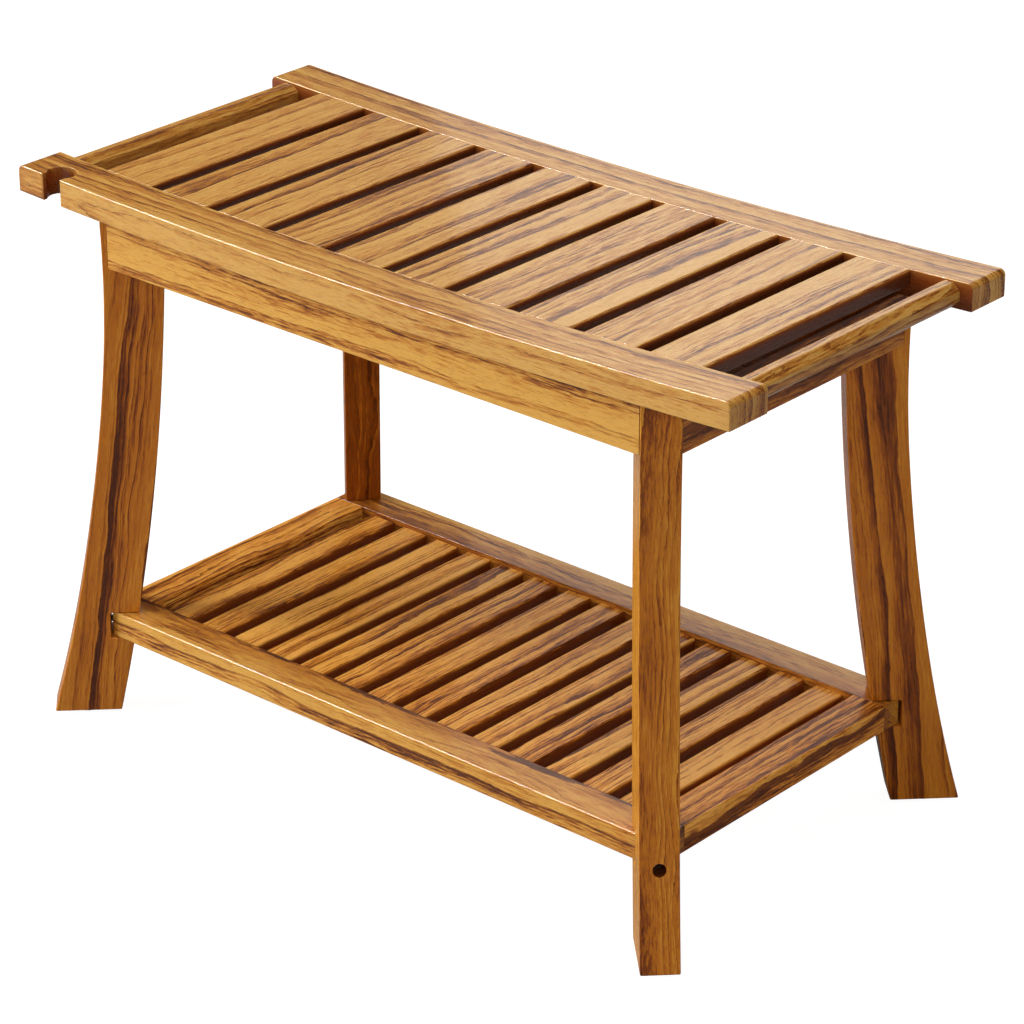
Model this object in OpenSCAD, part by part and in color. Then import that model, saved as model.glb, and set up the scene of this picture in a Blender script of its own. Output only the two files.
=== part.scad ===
// Slatted shower bench with a curved seat, grip bars, flared corner legs and a lower shelf.
// Millimetres. +X runs along the bench to its right end, +Y to its back, +Z up.
// The origin lies on the floor, under the middle of the seat.

/* [Seat] */
// Length over the seat rails
bench_l = 710; // [620:5:900]
// Depth over the seat rails
bench_d = 326; // [290:2:420]
// Height of the rail ends above the floor
seat_h = 460; // [400:5:520]
// How far the middle of the seat dips below its ends
seat_dip = 8.5; // [3:0.5:20]
// Width of a seat rail
rail_w = 42; // [34:1:55]
// Thickness of a seat rail
rail_t = 22; // [20:1:30]
// Radius on the top of the rail ends
rail_end_r = 5; // [1:0.5:9]
// Distance from the rail ends to the outer slats
slat_inset = 55.5; // [48:0.5:80]
// Number of seat slats
slat_n = 10; // [7:1:11]
// Width of a seat slat
slat_w = 50; // [30:1:54]
// Thickness of a seat slat
slat_t = 12; // [10:0.5:16]
// Radius on the long top edges of a slat
slat_r = 2.5; // [0.5:0.5:4]

/* [Hook notch] */
// Distance from the left rail end to the pocket centre
hook_inset = 36.4; // [32:0.1:60]
// Diameter of the pocket
hook_d = 24; // [18:0.5:30]
// Distance from the rail front to the pocket centre
hook_deep = 12.4; // [8:0.1:16]
// Width of the mouth
hook_mouth = 19; // [12:0.5:24]
// How far the mouth is set off from the pocket, to the right
hook_offset = 0.9; // [0:0.1:4]
// Radius on the outer lip of the mouth
hook_lip_r = 1.5; // [0.5:0.5:6]

/* [Grip bars] */
// Size of a bar across its flats
bar_af = 19.5; // [14:0.5:22]
// Distance from the rail ends to a bar's axis
bar_inset = 21; // [16:0.5:26]
// Diameter of the round tenon on each end of a bar
bar_tenon_d = 13; // [8:0.5:14]
// Length of the round tenon
bar_tenon_l = 16; // [8:1:24]

/* [Base frame] */
// How far the aprons stand in from the rail ends
base_inset_x = 65.5; // [50:0.5:90]
// How far the aprons stand in from the rail fronts
base_inset_y = 10; // [4:0.5:16]
// Height of the long aprons in the middle of the bench
apron_h = 38; // [32:0.5:60]
// Thickness of an apron
apron_t = 20; // [16:1:24]

/* [Legs] */
// Thickness of a leg
leg_t = 30; // [22:1:36]
// Width of a leg between its two arcs at seat height
leg_top_w = 46; // [42:1:56]
// Width of a foot
foot_w = 54.5; // [46:0.5:64]
// How far a foot stands out beyond the leg's top
leg_flare = 59.3; // [40:0.1:80]
// How far the outer edge kicks out past its arc at the floor
foot_kick = 1.5; // [0:0.1:4]
// Height over which the foot kicks out
foot_kick_h = 115; // [80:5:160]
// How far the outer edge turns back out past its arc at seat height
leg_turn = 5.6; // [0:0.2:8]
// Height over which the outer edge turns back out
leg_turn_h = 160; // [80:10:240]
// How far the leg's outer edge stands in from the apron corner at the top
leg_inset = 14; // [10:0.5:20]
// Diameter of a foot glide
glide_d = 20; // [14:1:26]
// Thickness of a foot glide
glide_t = 3; // [2:0.5:6]
// Diameter of the pin on a foot glide
glide_pin_d = 5; // [3:0.5:8]
// Length of the pin on a foot glide
glide_pin_l = 14; // [8:1:24]

/* [Shelf] */
// Height of the shelf frame's top above the floor
shelf_z = 91; // [80:0.5:160]
// Thickness of the shelf frame
shelf_t = 22; // [20:1:30]
// How far the shelf frame stands out beyond the aprons
shelf_proud = 3; // [0:0.5:8]
// Width of a long shelf rail
shelf_rail_w = 32.5; // [28:0.5:40]
// Width of a shelf end rail
shelf_end_w = 30.5; // [28:0.5:40]
// Size of the clipped shelf corners, along the diagonal
shelf_clip = 10; // [8:0.5:14]
// Number of shelf slats
shelf_slat_n = 14; // [8:1:16]
// Width of a shelf slat
shelf_slat_w = 25.5; // [20:0.5:28]
// Thickness of a shelf slat
shelf_slat_t = 12; // [10:0.5:14]
// How far the shelf slats lie below the frame's top
shelf_slat_drop = 4; // [1:0.5:6]
// Radius on the long top edges of a shelf slat
shelf_slat_r = 1.5; // [0.5:0.5:3]

/* [Joinery] */
// Side of a corner block along the leg's diagonal
block_t = 20; // [16:1:26]
// How far a corner block stays clear of the aprons' edges
block_margin = 3; // [1:0.5:6]
// Diameter of the dowels in the slats
slat_dowel_d = 6; // [4:0.5:7]
// Length of the dowels in the slats
slat_dowel_l = 24; // [16:1:32]
// Spacing of the two dowels in a seat slat
slat_dowel_gap = 28; // [12:1:34]
// Spacing of the two dowels in a shelf slat
shelf_dowel_gap = 13; // [9:0.5:13.5]
// Diameter of the dowels in the frames
frame_dowel_d = 8; // [6:0.5:10]
// Length of the dowels in the frames
frame_dowel_l = 26; // [20:1:32]
// How much of its length a frame dowel has more in the end rail than in the long rail
frame_dowel_shift = 10; // [4:0.5:12]
// How far the frame dowels stand in from the middle of the shelf end rail
frame_dowel_inset = 2; // [0:0.5:3]
// Spacing of the two dowels in a shelf end rail
frame_dowel_gap = 14; // [11:0.5:15]
// Spacing of the dowels along a long apron
apron_dowel_gap = 180; // [120:5:200]

/* [Hardware] */
// Thread diameter of the shelf bolts
bolt_d = 6; // [5:0.5:8]
// Diameter of the shelf bolt heads
bolt_head_d = 9.6; // [9:0.1:12]
// Height of the shelf bolt heads
bolt_head_h = 6; // [4:0.5:8]
// Length of the shelf bolts under the head
bolt_l = 25; // [22:1:34]
// Wood left under a shelf bolt's head
bolt_seat = 12; // [8:0.5:14]
// Size of the hexagon socket in a shelf bolt
bolt_key = 5; // [3:0.5:6]
// Outer diameter of the threaded inserts
insert_d = 10; // [9:0.5:12]
// Length of the threaded inserts
insert_l = 14; // [10:1:16]
// Diameter of the hanger bolts
hanger_d = 8; // [6:0.5:10]
// How far a hanger bolt goes into the leg
hanger_in = 32; // [20:1:34]
// How far a hanger bolt stands out behind the corner block
hanger_out = 14; // [11:1:20]
// Diameter of the washers
washer_d = 20; // [16:1:24]
// Thickness of the washers
washer_t = 1.6; // [1:0.1:2.5]
// Size of the nuts across the flats
nut_af = 13; // [12:0.5:17]
// Height of the nuts
nut_h = 6.5; // [4:0.5:8]
// Shank diameter of the block screws
screw_d = 4; // [3:0.5:4.5]
// How far the block screws go into the aprons
screw_bite = 14; // [10:0.5:15]
// Depth of the recesses for the screw heads
screw_sink = 5; // [4.5:0.5:7]
// Head diameter of the block screws
screw_head_d = 8; // [6:0.5:9]
// Head height of the block screws
screw_head_h = 3; // [2:0.5:4]

/* [Fits] */
// Gap round dowels, tenons, bolts and pins
fit = 0.1; // [0.05:0.05:0.3]
// Gap between a shelf corner and the back of its notch in the leg
notch_gap = 1.7; // [0.5:0.1:3]
// Gap above a shelf corner in its notch
notch_play = 0.4; // [0.1:0.1:1]
// Depth left open behind a dowel, tenon or bolt
end_play = 1; // [0.5:0.5:3]

/* [Hidden] */
SIDES = ["left", "right"];
LEG_PLACES = [["front_left", -1, -1], ["front_right", 1, -1], ["back_left", -1, 1], ["back_right", 1, 1]];
function two_digits(i) = str(i < 9 ? "0" : "", i + 1);

// Colours
TEAK_SEAT = "#c8935a";
TEAK_FRAME = "#b9793a";
TEAK_LEG = "#9c5f2c";
TEAK_SHELF = "#b5763c";
BEECH = "#d9bd8f";
STEEL = "#8d9094";
NYLON = "#d8d4cc";

// Roundness of bores, pins and arcs
ROUND = 48;
ARC_STEPS = 24;
CORNER_STEPS = 4;
// Room that a cutter runs past the wood
OVER = 5;

half_l = bench_l / 2;
half_d = bench_d / 2;
rail_in_y = half_d - rail_w;
base_x = half_l - base_inset_x;
base_y = half_d - base_inset_y;
slats_half = half_l - slat_inset;
slat_pitch = (2 * slats_half - slat_w) / (slat_n - 1);
bar_x = half_l - bar_inset;
shelf_x = base_x + shelf_proud;
shelf_y = base_y + shelf_proud;
shelf_in_x = shelf_x - shelf_end_w;
shelf_in_y = shelf_y - shelf_rail_w;
shelf_pitch = (2 * shelf_in_x + shelf_slat_w) / (shelf_slat_n + 1);
shelf_mid_z = shelf_z - shelf_t / 2;
apron_z = seat_h - seat_dip - rail_t - apron_h;
block_h = apron_h - 2 * block_margin;
block_mid_z = apron_z + apron_h / 2;
slat_cz = -slat_t / 2;
bolt_z = shelf_mid_z;
leg_cut = leg_t / sqrt(2);

// Places along a leg's diagonal, measured outward from the apron corner
clip_u = shelf_proud * sqrt(2) - shelf_clip;
notch_u = clip_u + notch_gap;
bolt_head_u = notch_u + bolt_seat;
leg_out_u = -leg_inset;
leg_in_u = -leg_inset - leg_top_w;
apron_in_u = -apron_t * sqrt(2);
foot_in_flare = leg_flare + leg_top_w - foot_w;
foot_mid_u = leg_out_u + leg_flare - foot_w / 2;
block_near = apron_in_u - leg_in_u;
block_back_u = leg_in_u - block_t;
screw_seat = block_t / sqrt(2) - screw_sink;

// Radius of an arc that rises by dip at half its width
function arc_r(half, dip) = (half * half + dip * dip) / (2 * dip);
// Rise of that arc over its lowest point, at x
function arc_rise(x, half, dip) = let (r = arc_r(half, dip)) r - sqrt(r * r - x * x);
function seat_z(x) = seat_h - seat_dip + arc_rise(x, half_l, seat_dip);
function under_z(x) = seat_z(x) - rail_t;
function seat_tilt(x) = asin(x / arc_r(half_l, seat_dip));
// How far a leg's edge has flared out at height z, when it flares by total at the floor
function leg_out(z, total) = arc_rise(seat_h - z, seat_h, total);
// Parabola that grows from 0 at a distance of reach to 1 at no distance
function ease(distance, reach) = pow(max(0, 1 - distance / reach), 2);
// Place of a leg's outer edge at height z: an arc, kicked out at the foot and turned back out at the top
function leg_out_edge(z) = leg_out_u + leg_out(z, leg_flare - foot_kick)
    + foot_kick * ease(z, foot_kick_h) + leg_turn * ease(seat_h - z, leg_turn_h);
// Points of an arc corner: centre, radius, first and last angle
function corner(c, r, a0, a1) =
    [for (k = [0 : CORNER_STEPS]) let (a = a0 + (a1 - a0) * k / CORNER_STEPS) c + r * [cos(a), sin(a)]];
function slat_x(i) = -slats_half + slat_w / 2 + i * slat_pitch;
function shelf_slat_x(i) = -shelf_in_x - shelf_slat_w / 2 + (i + 1) * shelf_pitch;

// A flat shape drawn in X and Z, made solid from y0 to y1
module along_y(y0, y1) translate([0, y1, 0]) rotate([90, 0, 0]) linear_extrude(y1 - y0) children();

// A round pin along +X, +Y or +Z from the origin
module pin_x(d, l) rotate([0, 90, 0]) cylinder(d = d, h = l, $fn = ROUND);
module pin_y(d, l) rotate([-90, 0, 0]) cylinder(d = d, h = l, $fn = ROUND);
module pin_z(d, l) cylinder(d = d, h = l, $fn = ROUND);

// A dowel of length l along Y, centred on the origin
module dowel_y(d, l) translate([0, -l / 2, 0]) pin_y(d, l);
module dowel_z(d, l) translate([0, 0, -l / 2]) pin_z(d, l);

// The space below the seat rails
module under_rails() {
    xs = [for (k = [0 : ARC_STEPS]) -half_l + 2 * half_l * k / ARC_STEPS];
    along_y(-bench_d, bench_d)
        polygon(concat([for (x = xs) [x, under_z(x)]], [[half_l, -OVER], [-half_l, -OVER]]));
}

// Side view of a seat rail: an arc along the top with rounded ends, and the same arc below
module rail_side() {
    inner = half_l - rail_end_r;
    xs = [for (k = [0 : ARC_STEPS]) -inner + 2 * inner * k / ARC_STEPS];
    left = corner([-inner, seat_z(inner) - rail_end_r], rail_end_r, 180, 90);
    right = corner([inner, seat_z(inner) - rail_end_r], rail_end_r, 90, 0);
    below = [for (k = [ARC_STEPS : -1 : 0]) let (x = -half_l + 2 * half_l * k / ARC_STEPS) [x, under_z(x)]];
    mid = [for (k = [1 : ARC_STEPS - 1]) [xs[k], seat_z(xs[k])]];
    polygon(concat(left, mid, right, below));
}

// Bores in the inner face and the underside of a rail, for the rail on the +Y side
module rail_bores() {
    for (i = [0 : slat_n - 1])
        at_slat(i) slat_dowel_pair(slat_dowel_d + 2 * fit, slat_dowel_l + 2 * end_play, rail_in_y);
    for (s = [-1, 1])
        translate([s * bar_x, rail_in_y - OVER, seat_z(bar_x) - rail_t / 2])
            pin_y(bar_tenon_d + 2 * fit, bar_tenon_l + OVER + end_play);
    apron_dowel_set(frame_dowel_d + 2 * fit, frame_dowel_l + 2 * end_play);
}

// The rail on the +Y side, before it is placed
module rail_body() {
    difference() {
        along_y(rail_in_y, half_d) rail_side();
        rail_bores();
    }
}

// Hook notch: a round pocket and a mouth to the front with a rounded outer lip
module hook_notch() {
    cx = -half_l + hook_inset;
    cy = -half_d + hook_deep;
    mouth_x0 = cx - hook_mouth / 2 + hook_offset;
    deep_z = 2 * rail_t + seat_dip;
    translate([cx, cy, seat_h - deep_z]) pin_z(hook_d, 2 * deep_z);
    translate([mouth_x0, -half_d - OVER, seat_h - deep_z]) cube([hook_mouth, hook_deep + OVER, 2 * deep_z]);
    difference() {
        translate([mouth_x0 - hook_lip_r, -half_d - OVER, seat_h - deep_z])
            cube([hook_lip_r + OVER, hook_lip_r + OVER, 2 * deep_z]);
        translate([mouth_x0 - hook_lip_r, -half_d + hook_lip_r, seat_h - deep_z - OVER])
            pin_z(2 * hook_lip_r, 2 * deep_z + 2 * OVER);
    }
}

module front_rail() {
    color(TEAK_FRAME) difference() {
        mirror([0, 1, 0]) rail_body();
        hook_notch();
    }
}

module back_rail() color(TEAK_FRAME) rail_body();

// An eight-sided bar with a round tenon on each end
module grip_bar(side) {
    color(TEAK_FRAME) translate([side * bar_x, 0, seat_z(bar_x) - rail_t / 2]) {
        rotate([90, 22.5, 0]) cylinder(d = bar_af / cos(22.5), h = 2 * rail_in_y, $fn = 8, center = true);
        dowel_y(bar_tenon_d, 2 * (rail_in_y + bar_tenon_l));
    }
}

// Moves to the top middle of a seat slat, tilted with the seat's curve
module at_slat(i)
    translate([slat_x(i), 0, seat_z(slat_x(i))]) rotate([0, -seat_tilt(slat_x(i)), 0]) children();

// The two dowels in one end of a seat slat, at y
module slat_dowel_pair(d, l, y)
    for (s = [-1, 1]) translate([s * slat_dowel_gap / 2, y, slat_cz]) dowel_y(d, l);

// A board section with round top edges, top middle at the origin
module slat_section(w, t, r)
    polygon(concat(
        [[-w / 2, -t]],
        corner([-w / 2 + r, -r], r, 180, 90),
        corner([w / 2 - r, -r], r, 90, 0),
        [[w / 2, -t]]));

module seat_slat(i) {
    color(TEAK_SEAT) at_slat(i) difference() {
        along_y(-rail_in_y, rail_in_y) slat_section(slat_w, slat_t, slat_r);
        for (s = [-1, 1]) slat_dowel_pair(slat_dowel_d + 2 * fit, slat_dowel_l + 2 * end_play, s * rail_in_y);
    }
}

module seat_dowels()
    color(BEECH) for (i = [0 : slat_n - 1], s = [-1, 1])
        at_slat(i) slat_dowel_pair(slat_dowel_d, slat_dowel_l, s * rail_in_y);

// Dowels between the +Y apron and the rail above it
module apron_dowel_set(d, l)
    for (k = [-1 : 1])
        translate([k * apron_dowel_gap, base_y - apron_t / 2, under_z(k * apron_dowel_gap)]) dowel_z(d, l);

module apron_dowels()
    color(BEECH) for (m = [0, 1]) mirror([0, m, 0]) apron_dowel_set(frame_dowel_d, frame_dowel_l);

// Places its children in a corner: X outward along the diagonal, Y across it
module at_corner(sx, sy)
    mirror([sx < 0 ? 1 : 0, 0, 0]) mirror([0, sy < 0 ? 1 : 0, 0])
        translate([base_x, base_y, 0]) rotate([0, 0, 45]) children();

// The plan of the four legs' thickness, for cutting the apron ends
module leg_plan()
    for (p = LEG_PLACES) at_corner(p[1], p[2])
        translate([-bench_d, -leg_t / 2, 0]) cube([2 * bench_d, leg_t, seat_h]);

// Plan of an apron between two diagonals: outer half length, inner half length
module apron_plan(outer, inner) {
    translate([0, 0, apron_z]) linear_extrude(seat_h)
        polygon([[-outer, 0], [outer, 0], [inner, -apron_t], [-inner, -apron_t]]);
}

module long_apron() {
    difference() {
        intersection() {
            translate([0, base_y, 0]) apron_plan(base_x - leg_cut, base_x - leg_cut - apron_t);
            under_rails();
        }
        apron_dowel_set(frame_dowel_d + 2 * fit, frame_dowel_l + 2 * end_play);
        for (m = [0, 1]) mirror([m, 0, 0]) at_corner(1, 1) screw_holes([1]);
    }
}

module front_apron() color(TEAK_FRAME) mirror([0, 1, 0]) long_apron();
module back_apron() color(TEAK_FRAME) long_apron();

module side_apron() {
    difference() {
        intersection() {
            translate([base_x, 0, 0]) rotate([0, 0, -90])
                apron_plan(base_y - leg_cut, base_y - leg_cut - apron_t);
            under_rails();
        }
        for (m = [0, 1]) mirror([0, m, 0]) at_corner(1, 1) screw_holes([-1]);
    }
}

module right_apron() color(TEAK_FRAME) side_apron();
module left_apron() color(TEAK_FRAME) mirror([1, 0, 0]) side_apron();

// Side view of a leg: both long edges follow arcs that stand upright at seat height
module leg_side() {
    zs = [for (k = [0 : ARC_STEPS]) glide_t + (seat_h - glide_t) * k / ARC_STEPS];
    polygon(concat(
        [for (z = zs) [leg_out_edge(z), z]],
        [for (k = [ARC_STEPS : -1 : 0]) [leg_in_u + leg_out(zs[k], foot_in_flare), zs[k]]]));
}

// A leg along the diagonal, before the rails' curve trims its top
module leg_body() {
    difference() {
        along_y(-leg_t / 2, leg_t / 2) leg_side();
        translate([notch_u - bench_d, -leg_t, shelf_z - shelf_t])
            cube([bench_d, 2 * leg_t, shelf_t + notch_play]);
        translate([notch_u - OVER, 0, bolt_z]) pin_x(bolt_d + 2 * fit, bolt_seat + 2 * OVER);
        translate([bolt_head_u, 0, bolt_z]) pin_x(bolt_head_d + 4 * fit, bench_d);
        translate([leg_in_u - OVER, 0, block_mid_z])
            pin_x(hanger_d + 2 * fit, hanger_in + OVER + end_play);
        translate([foot_mid_u, 0, glide_t - OVER])
            pin_z(glide_pin_d + 2 * fit, glide_pin_l + OVER + end_play);
    }
}

module leg(sx, sy) {
    color(TEAK_LEG) intersection() {
        at_corner(sx, sy) leg_body();
        under_rails();
    }
}

// A disc under the foot with a pin up into it
module foot_glide(sx, sy) {
    color(NYLON) at_corner(sx, sy) translate([foot_mid_u, 0, 0]) {
        pin_z(glide_d, glide_t);
        pin_z(glide_pin_d, glide_t + glide_pin_l);
    }
}

// A wedge-ended block across the corner, flat against both aprons and the leg's inner edge
module block_body() {
    reach = block_near + block_t;
    translate([block_back_u, 0, block_mid_z - block_h / 2]) linear_extrude(block_h)
        polygon([[0, -reach], [reach, 0], [0, reach]]);
}

module corner_block(sx, sy) {
    color(TEAK_LEG) at_corner(sx, sy) difference() {
        block_body();
        along_y(-bench_d, bench_d) leg_side();
        translate([leg_in_u + OVER, -bench_d, 0]) cube([bench_d, 2 * bench_d, seat_h]);
        translate([block_back_u - OVER, 0, block_mid_z]) pin_x(hanger_d + 4 * fit, block_t + 3 * OVER);
        screw_holes([-1, 1]);
        at_block_screws([-1, 1]) translate([-block_t, 0, 0]) pin_x(screw_head_d + 4 * fit, block_t);
    }
}

// Places its children at the seats of the screw heads, +X along the screws. They run through the
// corner block square to the aprons: side +1 is the long apron, -1 the side apron.
module at_block_screws(sides)
    for (s = sides, h = [-1, 1])
        translate([leg_in_u - block_t / 2, s * (block_near + block_t / 2), block_mid_z + h * block_h / 4])
            rotate([0, 0, s * 45]) translate([-screw_seat, 0, 0]) children();

module screw_holes(sides)
    at_block_screws(sides) pin_x(screw_d + 2 * fit, screw_seat + screw_bite + end_play);

module block_screws() {
    color(STEEL) for (p = LEG_PLACES) at_corner(p[1], p[2]) at_block_screws([-1, 1]) {
        pin_x(screw_d, screw_seat + screw_bite);
        translate([-screw_head_h, 0, 0]) pin_x(screw_head_d, screw_head_h);
    }
}

module hanger_bolts() {
    color(STEEL) for (p = LEG_PLACES) at_corner(p[1], p[2])
        translate([block_back_u - hanger_out, 0, block_mid_z])
            pin_x(hanger_d, hanger_out + block_t + hanger_in);
}

module hanger_washers() {
    color(STEEL) for (p = LEG_PLACES) at_corner(p[1], p[2])
        translate([block_back_u - washer_t, 0, block_mid_z]) difference() {
            pin_x(washer_d, washer_t);
            translate([-OVER, 0, 0]) pin_x(hanger_d + 2 * fit, washer_t + 2 * OVER);
        }
}

module hanger_nuts() {
    color(STEEL) for (p = LEG_PLACES) at_corner(p[1], p[2])
        translate([block_back_u - washer_t - nut_h, 0, block_mid_z]) difference() {
            rotate([0, 90, 0]) cylinder(d = nut_af / cos(30), h = nut_h, $fn = 6);
            translate([-OVER, 0, 0]) pin_x(hanger_d + 2 * fit, nut_h + 2 * OVER);
        }
}

// Long shelf rail on the +Y side, with clipped outer corners
module shelf_long_rail() {
    clip = shelf_clip * sqrt(2);
    difference() {
        translate([0, 0, shelf_z - shelf_t]) linear_extrude(shelf_t)
            polygon([[-shelf_x, shelf_in_y], [shelf_x, shelf_in_y], [shelf_x, shelf_y - clip],
                [shelf_x - clip, shelf_y], [-shelf_x + clip, shelf_y], [-shelf_x, shelf_y - clip]]);
        for (i = [0 : shelf_slat_n - 1]) at_shelf_slat(i)
            shelf_dowel_pair(slat_dowel_d + 2 * fit, slat_dowel_l + 2 * end_play, shelf_in_y);
        for (m = [0, 1]) mirror([m, 0, 0]) {
            frame_dowel_pair(frame_dowel_d + 2 * fit, frame_dowel_l + 2 * end_play);
            at_corner(1, 1) translate([clip_u - insert_l - end_play, 0, bolt_z])
                pin_x(insert_d + 2 * fit, insert_l + 2 * OVER);
        }
    }
}

module shelf_back_rail() color(TEAK_SHELF) shelf_long_rail();
module shelf_front_rail() color(TEAK_SHELF) mirror([0, 1, 0]) shelf_long_rail();

module shelf_end_rail() {
    difference() {
        translate([shelf_in_x, -shelf_in_y, shelf_z - shelf_t]) cube([shelf_end_w, 2 * shelf_in_y, shelf_t]);
        for (m = [0, 1]) mirror([0, m, 0])
            frame_dowel_pair(frame_dowel_d + 2 * fit, frame_dowel_l + 2 * end_play);
    }
}

module shelf_right_rail() color(TEAK_SHELF) shelf_end_rail();
module shelf_left_rail() color(TEAK_SHELF) mirror([1, 0, 0]) shelf_end_rail();

// Dowels between the +X end rail and the +Y long rail
module frame_dowel_pair(d, l) {
    mid_x = shelf_in_x + shelf_end_w / 2 - frame_dowel_inset;
    mid_y = shelf_in_y - frame_dowel_shift / 2;
    for (s = [-1, 1]) translate([mid_x + s * frame_dowel_gap / 2, mid_y, shelf_mid_z]) dowel_y(d, l);
}

module shelf_frame_dowels()
    color(BEECH) for (p = LEG_PLACES) mirror([p[1] < 0 ? 1 : 0, 0, 0]) mirror([0, p[2] < 0 ? 1 : 0, 0])
        frame_dowel_pair(frame_dowel_d, frame_dowel_l);

module at_shelf_slat(i) translate([shelf_slat_x(i), 0, shelf_z - shelf_slat_drop]) children();

module shelf_dowel_pair(d, l, y)
    for (s = [-1, 1]) translate([s * shelf_dowel_gap / 2, y, -shelf_slat_t / 2]) dowel_y(d, l);

module shelf_slat(i) {
    color(TEAK_SHELF) at_shelf_slat(i) difference() {
        along_y(-shelf_in_y, shelf_in_y) slat_section(shelf_slat_w, shelf_slat_t, shelf_slat_r);
        for (s = [-1, 1])
            shelf_dowel_pair(slat_dowel_d + 2 * fit, slat_dowel_l + 2 * end_play, s * shelf_in_y);
    }
}

module shelf_slat_dowels()
    color(BEECH) for (i = [0 : shelf_slat_n - 1], s = [-1, 1])
        at_shelf_slat(i) shelf_dowel_pair(slat_dowel_d, slat_dowel_l, s * shelf_in_y);

// A socket-head bolt from the leg's outer edge into the insert in the shelf corner
module shelf_bolts() {
    color(STEEL) for (p = LEG_PLACES) at_corner(p[1], p[2])
        translate([bolt_head_u, 0, bolt_z]) difference() {
            union() {
                pin_x(bolt_head_d, bolt_head_h);
                translate([-bolt_l, 0, 0]) pin_x(bolt_d, bolt_l + bolt_head_h / 2);
            }
            translate([bolt_head_h / 2, 0, 0])
                rotate([0, 90, 0]) cylinder(d = bolt_key / cos(30), h = bolt_head_h, $fn = 6);
        }
}

module shelf_inserts() {
    color(STEEL) for (p = LEG_PLACES) at_corner(p[1], p[2])
        translate([clip_u - insert_l, 0, bolt_z]) difference() {
            pin_x(insert_d, insert_l);
            translate([-OVER, 0, 0]) pin_x(bolt_d + 2 * fit, insert_l + 2 * OVER);
        }
}

front_rail();
back_rail();
for (k = [0, 1]) grip_bar(2 * k - 1);
for (i = [0 : slat_n - 1]) seat_slat(i);
front_apron();
back_apron();
left_apron();
right_apron();
for (p = LEG_PLACES) leg(p[1], p[2]);
for (p = LEG_PLACES) foot_glide(p[1], p[2]);
shelf_front_rail();
shelf_back_rail();
shelf_left_rail();
shelf_right_rail();
for (i = [0 : shelf_slat_n - 1]) shelf_slat(i);
for (p = LEG_PLACES) corner_block(p[1], p[2]);
hanger_bolts();
hanger_washers();
hanger_nuts();
block_screws();
shelf_bolts();
shelf_inserts();
seat_dowels();
apron_dowels();
shelf_slat_dowels();
shelf_frame_dowels();
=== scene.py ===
"""Teak shower bench: builds each wooden board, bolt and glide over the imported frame, and the studio."""

import math
import random

import bmesh
import bpy
from bpy.props import FloatProperty, FloatVectorProperty, PointerProperty
from bpy.types import Operator, Panel, PropertyGroup
from mathutils import Matrix, Vector


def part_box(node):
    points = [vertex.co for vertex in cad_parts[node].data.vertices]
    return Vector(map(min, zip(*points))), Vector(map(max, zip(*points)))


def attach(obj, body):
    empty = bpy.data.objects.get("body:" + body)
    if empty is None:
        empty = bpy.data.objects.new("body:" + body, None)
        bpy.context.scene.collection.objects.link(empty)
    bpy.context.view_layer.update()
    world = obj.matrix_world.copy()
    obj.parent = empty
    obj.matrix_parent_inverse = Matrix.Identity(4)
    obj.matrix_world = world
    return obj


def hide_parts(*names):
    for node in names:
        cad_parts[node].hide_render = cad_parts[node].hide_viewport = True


bl_info = {
    "name": "Teak Shower Bench",
    "version": (1, 0, 0),
    "blender": (4, 5, 0),
    "location": "View3D > Sidebar > Bench",
    "description": "Builds the boards, bars, slats, legs, shelf and fastenings of a teak shower bench",
    "category": "Object",
}

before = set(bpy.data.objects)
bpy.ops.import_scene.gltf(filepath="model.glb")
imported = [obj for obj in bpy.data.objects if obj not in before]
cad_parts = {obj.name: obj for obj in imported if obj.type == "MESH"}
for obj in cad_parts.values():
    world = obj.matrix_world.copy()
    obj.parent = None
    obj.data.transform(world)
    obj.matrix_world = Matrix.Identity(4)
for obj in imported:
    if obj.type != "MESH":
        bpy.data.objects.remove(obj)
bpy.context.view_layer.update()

# Sizes that come from the frame, in metres
RAIL_LOW, RAIL_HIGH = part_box("back_rail")
HALF_LENGTH = RAIL_HIGH.x
HALF_DEPTH = RAIL_HIGH.y
RAIL_IN_Y = RAIL_LOW.y
SEAT_LOW_Z = RAIL_LOW.z
APRON_LOW, APRON_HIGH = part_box("back_apron")
BASE_X, BASE_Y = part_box("right_apron")[1].x, APRON_HIGH.y
SHELF_LOW, SHELF_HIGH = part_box("shelf_back_rail")
SHELF_END_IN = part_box("shelf_right_rail")[0].x
SHELF_BOLT_Z = (SHELF_LOW.z + SHELF_HIGH.z) / 2
LEG_LOW_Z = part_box("leg_back_right")[0].z

# Corner names with their signs along X and Y
CORNERS = {
    "front_left": (-1, -1),
    "front_right": (1, -1),
    "back_left": (-1, 1),
    "back_right": (1, 1),
}
ROOT_HALF = math.sqrt(0.5)
# A point this near to a face counts as lying on it
NEAR = 0.0001
# Corners of the turned pieces
SIDES = 48
# Softened edges of the slats, the grip bars and the corner blocks
SLAT_ARRIS = 0.0006
BAR_ARRIS = 0.0012
BLOCK_ARRIS = 0.0009
# Air round a bolt or an insert in its bore
PLAY = 0.0001
# Radius of the holes for the shelf bolts' heads, and of the inserts in the shelf's corners
BOLT_HOLE_RADIUS = 0.005
INSERT_RADIUS = 0.005
INSERT_DEPTH = 0.015
# How far a cutter reaches past the face that it cuts
PAST = 0.01
# How deep the hanger bolts reach into the legs, and how far they stand out of the blocks
HANGER_DEPTH = 0.032
HANGER_END = 0.014
SHELF_BOLT_LENGTH = 0.025
# Bores of the corner blocks: round the hanger bolts and the screws' heads, and round their shanks
WIDE_BORE_RADIUS = 0.0042
SCREW_BORE_RADIUS = 0.0021
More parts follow.
